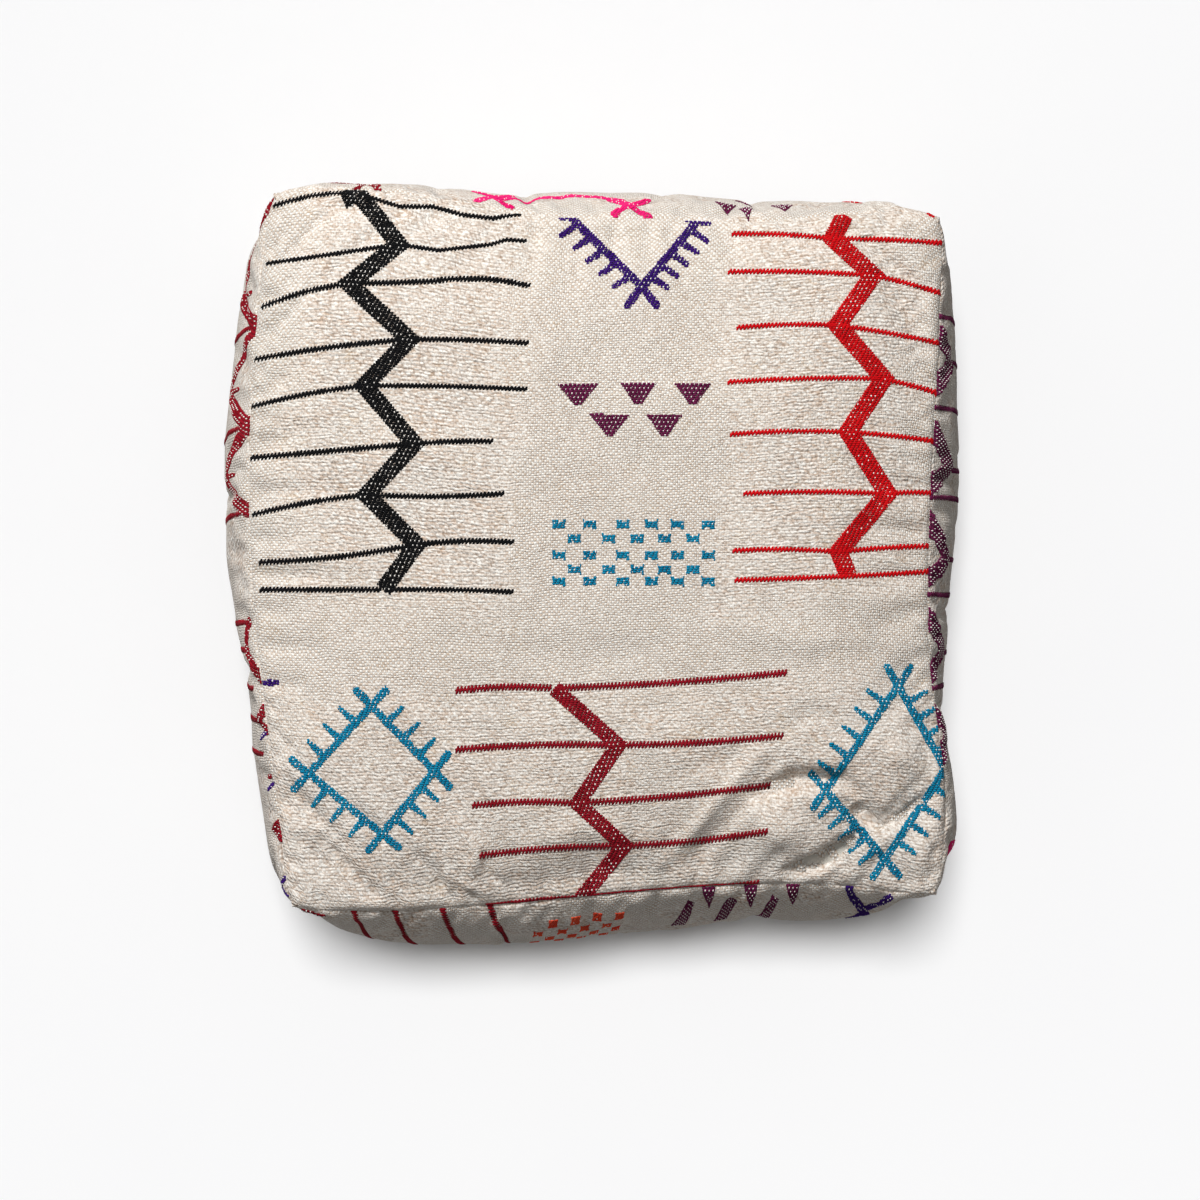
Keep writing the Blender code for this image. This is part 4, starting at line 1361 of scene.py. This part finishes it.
def shape_bottom(side, seed):
    """One half of the bottom, from the front or the back seam to its hem at the zip."""
    sign = -1 if side == "front" else 1
    height = HALF - HEM_CLOSED
    across = steps_with_seams(BOTTOM_STEPS, 2 * HALF)
    up = steps_with_seams(BOTTOM_UP_STEPS, height)
    x = sign * (across * 2 - 1) * BOTTOM_HALF
    inner = HEM_HALF + (HEM_CLOSED - HEM_HALF) * ramp(np.abs(x), *ZIP_ENDS)
    outer = seam_half(x)
    y = sign * (outer + (inner - outer) * up[:, None])
    x = x * seam_half(y) / BOTTOM_HALF
    points = np.stack([x, y, bottom_height(x, y)], axis=-1)
    cloth = Cloth("bottom_cover_" + side, points, 2 * HALF, height, across, up, fine=True)
    flat_x, flat_y = cloth.flat()
    edge = cloth.height / MM / 2 - flat_y
    crease = Noise(seed)(flat_x / 38, flat_y / 30) + 0.5 * Noise(seed + 1)(flat_x / 13, flat_y / 11)
    free = ramp(points[..., 2], 0.0006, 0.004) * ramp(cloth.seam_distance(), 0.0, 0.01)
    seamed = np.minimum(np.minimum(cloth.a, 1 - cloth.a)[None, :] * cloth.width, cloth.b[:, None] * height)
    tuck = -0.0016 * np.exp(-((seamed / 0.0024) ** 1.4))
    groove = -0.0003 * gauss(edge - HEM_STITCH[1], 0.9) - 0.0003 * gauss(edge - HEM_STITCH[0], 0.9)
    cloth.push(0.0006 * crease * free + tuck + groove)
    cloth.hem = ramp(edge, HEM_WIDTH / MM + 1.2, HEM_WIDTH / MM)
    return cloth


HEM_STITCH = (2.2, 11.0)  # from the fold to each row of stitches, in millimetres
HEM_STITCH_LONG, HEM_STITCH_APART = 2.6, 3.4


def hem_threads(cloth):
    """Two rows of machine stitches along the hem."""
    reach = (ZIP_ENDS[1] + 0.020) / MM
    starts = np.arange(-reach, reach, HEM_STITCH_APART)
    top = cloth.height / MM / 2
    rows = [(s, top - edge, s + HEM_STITCH_LONG, top - edge) for edge in HEM_STITCH for s in starts]
    return stitches_object(cloth.name + "_stitches", cloth, np.array(rows), 7, wide=0.42, rise=0.55)


COIL_POINTS = 12  # round each turn
COIL_PITCH = 0.0011
COIL_RADIUS = 0.00033
COIL_AROUND = 6
COIL_SQUASH = 0.7  # 1 would make each turn an ellipse, and less makes it squarer


def coil_object(side):
    """One half of the zip's coil: a flattened spiral of nylon thread."""
    low, high = (np.array(c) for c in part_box("zip_coil_" + side))
    r = COIL_RADIUS
    turns = int((high[0] - low[0] - 2 * r) / COIL_PITCH)
    t = np.arange(turns * COIL_POINTS + 1) / COIL_POINTS
    angle = 2 * math.pi * t
    centre, half = (low + high) / 2, (high - low) / 2 - r

    def flattened(wave):
        return np.sign(wave) * np.abs(wave) ** COIL_SQUASH

    path = np.stack(
        [
            low[0] + r + t * COIL_PITCH,
            centre[1] + half[1] * flattened(np.cos(angle)),
            centre[2] + half[2] * flattened(np.sin(angle)),
        ],
        axis=-1,
    )
    return tube("zip_coil_" + side + "_thread", path, r, COIL_AROUND)


def tube(name, path, radius, around):
    """A closed tube along a path."""
    ahead = unit(np.gradient(path, axis=0))
    side = unit(np.cross(ahead, np.array([1.0, 0.02, 0.03])))
    up = np.cross(side, ahead)
    turn = np.arange(around) * 2 * math.pi / around
    rim = side[:, None] * np.cos(turn)[None, :, None] + up[:, None] * np.sin(turn)[None, :, None]
    points = (path[:, None] + rim * radius).reshape(-1, 3)
    number = np.arange(len(points)).reshape(len(path), around)
    number = np.concatenate([number, number[:, :1]], axis=1)
    faces = [tuple(f) for f in grid_quads(number)] + [tuple(number[0, :-1]), tuple(number[-1, :-1][::-1])]
    piece = mesh_object(name, points, faces)
    fix_facing(piece)
    return piece


def fix_facing(piece):
    """Turns the faces outwards if they point in."""
    work = bmesh.new()
    work.from_mesh(piece.data)
    bmesh.ops.recalc_face_normals(work, faces=work.faces)
    if work.calc_volume(signed=True) < 0:
        bmesh.ops.reverse_faces(work, faces=work.faces)
    work.to_mesh(piece.data)
    work.free()


INSERT_SIZE = 0.950  # of the cover's width
INSERT_STEPS = 96
INSERT_UP_STEPS = 34
CALICO = 0.0010
INSERT_LOW, INSERT_HIGH = (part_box("insert_band")[k][2] for k in (0, 1))
INSERT_LIFT = FLOOR_GAP + CANVAS + 2 * GAP
INSERT_ZIP_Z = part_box("zip_slider")[1][2] + 4 * GAP
INSERT_SINK = 0.021  # of its crown under the cover's
FIBRE_INSET = 0.0035  # from the calico to the fibre
FIBRE_SIZE = 0.932


def insert_grid(grid, size, low, high, sink):
    """A grid of the cover drawn in to the insert's size, its seams between two heights, its crown sunk."""
    points = grid.copy()
    points[..., :2] *= size
    over = np.maximum(points[..., 2] - SEAM_Z, 0)
    between = np.minimum(points[..., 2], SEAM_Z)
    points[..., 2] = low + (between - BOTTOM_SEAM_Z) * (high - low) / (SEAM_Z - BOTTOM_SEAM_Z)
    points[..., 2] += over - sink * ramp(over, 0, 0.02)
    return points


def insert_bottom_grid(size, low, lift, zip_z):
    """The underside of the insert, which follows the cover's bottom and stays above the zip."""
    s = np.linspace(-1, 1, CELLS + 1)
    x, y = np.meshgrid(-s * HALF * size, s * HALF * size)
    near = np.minimum(HALF * size - np.abs(x), HALF * size - np.abs(y))
    roll = (low - lift) * (1 - np.clip(near / BOTTOM_ROLL, 0, 1)) ** 2
    over_zip = (zip_z - lift) * (1 - ramp(np.abs(y), 0.016, VALLEY_HALF + 0.010))
    return np.stack([x, y, lift + np.maximum(roll, over_zip)], axis=-1)


def insert_piece(name, grid, width, height, up_steps, seed, node):
    across = steps_with_seams(INSERT_STEPS, width)
    cloth = Cloth(name, grid, width, height, across, steps_with_seams(up_steps, height))
    inside = ramp(cloth.seam_distance(), 0.002, 0.02)
    gathers = 0.4 * puckers(cloth, seed + 1) - 0.0006 * np.exp(-((cloth.seam_distance() / 0.0026) ** 1.4))
    cloth.push(lumps(cloth, seed, 60, 0.0004) * inside + gathers)
    piece = panel_object(cloth, CALICO, 3)
    finish_sheet(piece, "calico", node)


def insert_band(grid_by_side):
    """The insert's four sides as one closed band of calico."""
    joined = np.concatenate([grid_by_side[s][:, :-1] for s in SIDES] + [grid_by_side["front"][:, :1]], axis=1)
    rows, columns = joined.shape[:2]
    up = np.linspace(0, 1, INSERT_UP_STEPS + 1)
    fine_rows = cubic_weights(rows - 1, up)
    points = np.einsum("ri,ijk->rjk", fine_rows, joined)
    across = np.linspace(0, 1, columns)
    length = 8 * HALF * INSERT_SIZE
    height = SEAM_Z - BOTTOM_SEAM_Z
    cloth = Cloth("insert_calico_band", points, length, height, across, up, fine=True)
    closing = unit(cloth.normals[:, 0] + cloth.normals[:, -1])
    cloth.normals[:, 0] = cloth.normals[:, -1] = closing
    outer = cloth.points[:, :-1]
    inner = outer - cloth.normals[:, :-1] * CALICO
    number = np.arange(outer.shape[0] * outer.shape[1]).reshape(outer.shape[:2])
    count = number.size
    around = np.concatenate([number, number[:, :1]], axis=1)
    faces = [grid_quads(around), grid_quads(around + count)[:, ::-1]]
    for row, flip in ((around[0], False), (around[-1], True)):
        rim = np.stack([row[:-1], row[:-1] + count, row[1:] + count, row[1:]], axis=-1)
        faces.append(rim[:, ::-1] if flip else rim)
    points = np.concatenate([outer.reshape(-1, 3), inner.reshape(-1, 3)])
    piece = mesh_object(cloth.name, points, [tuple(f) for group in faces for f in group])
    x, y = cloth.flat()
    flats = np.stack([x[:, :-1], y[:, :-1]], axis=-1).reshape(-1, 2) * MM
    flat_map(piece, np.concatenate([flats, flats]))
    finish_sheet(piece, "calico", "insert_band")


def insert_filling(grids_in):
    """The stuffing, one closed lumpy body."""
    points, numbers = weld(grids_in)
    faces = np.concatenate([grid_quads(n) for n in numbers.values()])
    piece = mesh_object("insert_fibre", points, [tuple(f) for f in faces])
    fix_facing(piece)
    work = bmesh.new()
    work.from_mesh(piece.data)
    noise = Noise(77)
    work.normal_update()
    for v in work.verts:
        depth = 0.0008 + 0.0008 * float(noise(v.co.x / 0.012 + 9, v.co.y / 0.012 + v.co.z / 0.017 + 5))
        v.co -= v.normal * depth
    work.to_mesh(piece.data)
    work.free()
    dress(piece, "fibre")
    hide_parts("insert_filling")


def dress(piece, material):
    """A piece gets its material and rides on the cover."""
    piece.data.materials.append(MATERIALS[material])
    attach(piece, "cover")


def finish_sheet(piece, slot_name, node):
    """A panel is dressed and stands for its CAD node, which is hidden."""
    dress(piece, slot_name)
    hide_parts(node)


# ---------------------------------------------------------------- building


MATERIALS = {name: yarn_material("yarn_" + name, *shades) for name, shades in YARNS.items()}
MATERIALS["kilim"] = kilim_material()
MATERIALS["binding"] = binding_material()
MATERIALS["canvas"] = plain_cloth_material(
    "canvas", 0.0013, (206, 192, 168), (226, 215, 194), (150, 132, 106), 0.3
)
MATERIALS["calico"] = plain_cloth_material(
    "calico", 0.0007, (232, 228, 216), (246, 243, 235), (196, 190, 176), 0.15
)
MATERIALS["zip_tape"] = tape_material()
MATERIALS["zip_coil"] = coil_material()
MATERIALS["zip_metal"] = metal_material()
MATERIALS["fibre"] = fibre_material()
MATERIALS["thread"] = yarn_material("sewing_thread", (226, 216, 196), (245, 238, 224))


def knobs_of_top(cloth):
    """Where the top's cloth is knobbly: beside the tall zigzags and over the front, in uneven patches."""
    x, y = cloth.flat()
    noise = Noise(31)(x / 26, y / 26) * 16 + Noise(33)(x / 9, y / 9) * 12
    left = ramp(x, -270 + noise, -230 + noise) * (1 - ramp(x, -92 + noise, -36 + noise))
    right = ramp(x, 82 + noise, 136 + noise) * (1 - ramp(x, 250 + noise, 290 + noise))
    upper = ramp(y, -70 + noise, -16 + noise)
    lower = 1 - ramp(y, -136 + noise, -82 + noise)
    patchy = 0.78 + 0.22 * np.clip(Noise(32)(x / 34, y / 18) * 2.2 + 0.6, -1, 1)
    return 0.18 + 0.68 * np.clip(np.maximum(left, right) * upper + lower * 0.85, 0, 1) * patchy


def same_place(x, y):
    return x, y


def build_cover():
    grids = stuffed({"top": start_top(), **{side: start_side(side) for side in SIDES}})
    top = shape_top(grids["top"])
    piece = panel_object(top, KILIM)
    attribute(piece, "Knobs", knobs_of_top(top))
    motifs = {yarn: motif() for yarn, motif in TOP_MOTIFS.items()}
    stitched = embroider(top, motifs, seen_from_above(top), 100)
    finish_sheet(piece, "kilim", "top_panel")
    for k, side in enumerate(SIDES):
        cloth = shape_side(side, grids[side], 40 + 10 * k)
        piece = panel_object(cloth, KILIM)
        x, y = cloth.flat()
        attribute(piece, "Knobs", np.clip(0.5 + Noise(35 + k)(x / 30, y / 20), 0, 1))
        stitched = embroider(cloth, SIDE_MOTIFS[side](), same_place, 200 + 20 * k)
        finish_sheet(piece, "kilim", side + "_side_panel")
    return grids


def build_bottom():
    for k, side in enumerate(("front", "rear")):
        cloth = shape_bottom(side, 300 + 10 * k)
        piece = panel_object(cloth, CANVAS, 4)
        threads = hem_threads(cloth)
        dress(threads, "thread")
        finish_sheet(piece, "canvas", "bottom_panel_" + side)


def build_zip():
    for side in ("front", "rear"):
        coil = coil_object(side)
        dress(coil, "zip_coil")
        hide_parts("zip_coil_" + side)
    metal = ("zip_end_stop", "zip_top_stop_front", "zip_top_stop_rear", "zip_slider", "zip_pull_tab")
    for finish, names in (("zip_tape", ("zip_tape_front", "zip_tape_rear")), ("zip_metal", metal)):
        for name in names:
            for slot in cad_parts[name].material_slots:
                slot.material = MATERIALS[finish]


def build_insert(grids):
    size, fibre = INSERT_SIZE, FIBRE_SIZE
    drawn = {name: insert_grid(g, size, INSERT_LOW, INSERT_HIGH, INSERT_SINK) for name, g in grids.items()}
    width = 2 * HALF * size
    insert_piece("insert_calico_top", drawn["top"], width, width, INSERT_STEPS, 401, "insert_top_panel")
    below = insert_bottom_grid(size, INSERT_LOW, INSERT_LIFT, INSERT_ZIP_Z)
    insert_piece("insert_calico_bottom", below, width, width, INSERT_STEPS, 411, "insert_bottom_panel")
    insert_band(drawn)
    low, high = INSERT_LOW + FIBRE_INSET, INSERT_HIGH - FIBRE_INSET
    filling = {n: insert_grid(g, fibre, low, high, INSERT_SINK + FIBRE_INSET) for n, g in grids.items()}
    filling["bottom"] = insert_bottom_grid(fibre, low, INSERT_LIFT + FIBRE_INSET, INSERT_ZIP_Z + FIBRE_INSET)
    insert_filling(filling)


cover_grids = build_cover()
build_bottom()
build_zip()
build_insert(cover_grids)


# ---------------------------------------------------------------- floor, light and camera


WORLD_LIGHT = 0.20
BACKDROP_LIGHT = 0.93
BACKDROP_RADIUS = 17
FLOOR_SIZE, FLOOR_Z = 36, -0.0006
WINDOW_PLACE, WINDOW_SIZE, WINDOW_POWER = (-1.0, 2.55, 3.35), 0.9, 190  # lights all but the floor
SKY_FROM, SKY_DEGREES, SKY_POWER = (-0.06, 0.30, 1.0), 20, 2.66  # lights the floor only


def studio():
    bpy.ops.mesh.primitive_plane_add(size=FLOOR_SIZE, location=(0, 0, FLOOR_Z))
    floor = bpy.context.object
    floor.name = "studio_floor"
    s = Shader("studio_floor")
    place = s.node("ShaderNodeTexCoord", out=3)
    base = s.mix(s.noise(place, 3.0, 2.0), colour(250, 250, 250), colour(247, 247, 248))
    floor.data.materials.append(s.finish(base_color=base, roughness=0.9, specular_ior_level=0.1))
    # From below the floor is see-through, so that the zip under the cushion can be looked at.
    below, clear = s.node("ShaderNodeNewGeometry", out="Backfacing"), s.node("ShaderNodeBsdfTransparent")
    sides = s.node("ShaderNodeMixShader", inputs={0: below, 1: s.surface.outputs[0], 2: clear})
    s.put(s.output, "Surface", sides)
    floor.visible_diffuse = False

    bpy.ops.mesh.primitive_uv_sphere_add(segments=48, ring_count=24, radius=BACKDROP_RADIUS)
    backdrop = bpy.context.object
    backdrop.name = "studio_backdrop"
    s = Shader("studio_backdrop")
    s.tree.nodes.remove(s.surface)
    s.put(s.output, "Surface", s.node("ShaderNodeEmission", inputs={"Strength": BACKDROP_LIGHT}))
    backdrop.data.materials.append(s.material)
    backdrop.visible_diffuse = backdrop.visible_glossy = backdrop.visible_shadow = False
    backdrop.visible_transmission = False

    world = bpy.data.worlds.new("studio")
    world.use_nodes = True
    world.node_tree.nodes["Background"].inputs["Color"].default_value = (1, 1, 1, 1)
    world.node_tree.nodes["Background"].inputs["Strength"].default_value = WORLD_LIGHT
    bpy.context.scene.world = world

    def light(name, kind, place, aim, **settings):
        lamp = bpy.data.lights.new(name, kind)
        for key, value in settings.items():
            setattr(lamp, key, value)
        holder = bpy.data.objects.new(name, lamp)
        holder.location = place
        holder.rotation_euler = Vector(aim).to_track_quat("-Z", "Y").to_euler()
        bpy.context.scene.collection.objects.link(holder)
        return holder

    aim = Vector((0, 0, 0.1)) - Vector(WINDOW_PLACE)
    key = light("key", "AREA", WINDOW_PLACE, aim, shape="SQUARE", size=WINDOW_SIZE, energy=WINDOW_POWER)
    aim, wide = -Vector(SKY_FROM), math.radians(SKY_DEGREES)
    above = light("sky", "SUN", (0, 0, 0), aim, energy=SKY_POWER, angle=wide)
    # The window lights the cushion and the sky its floor, so that a low light still goes with a short shadow.
    for lamp, state in ((key, "EXCLUDE"), (above, "INCLUDE")):
        lit = bpy.data.collections.new("lit_by_" + lamp.name)
        lit.objects.link(floor)
        lit.collection_objects[0].light_linking.link_state = state
        lamp.light_linking.receiver_collection = lit

    camera = bpy.data.cameras.new("camera")
    camera.sensor_width = 36
    camera.lens = camera.sensor_width * CAMERA_HEIGHT / VIEW_WIDTH
    eye = bpy.data.objects.new("camera", camera)
    eye.location = (CAMERA_X, CAMERA_Y, SEAM_Z + CAMERA_HEIGHT)
    bpy.context.scene.collection.objects.link(eye)
    bpy.context.scene.camera = eye
    bpy.context.scene.view_settings.view_transform = "Standard"


studio()
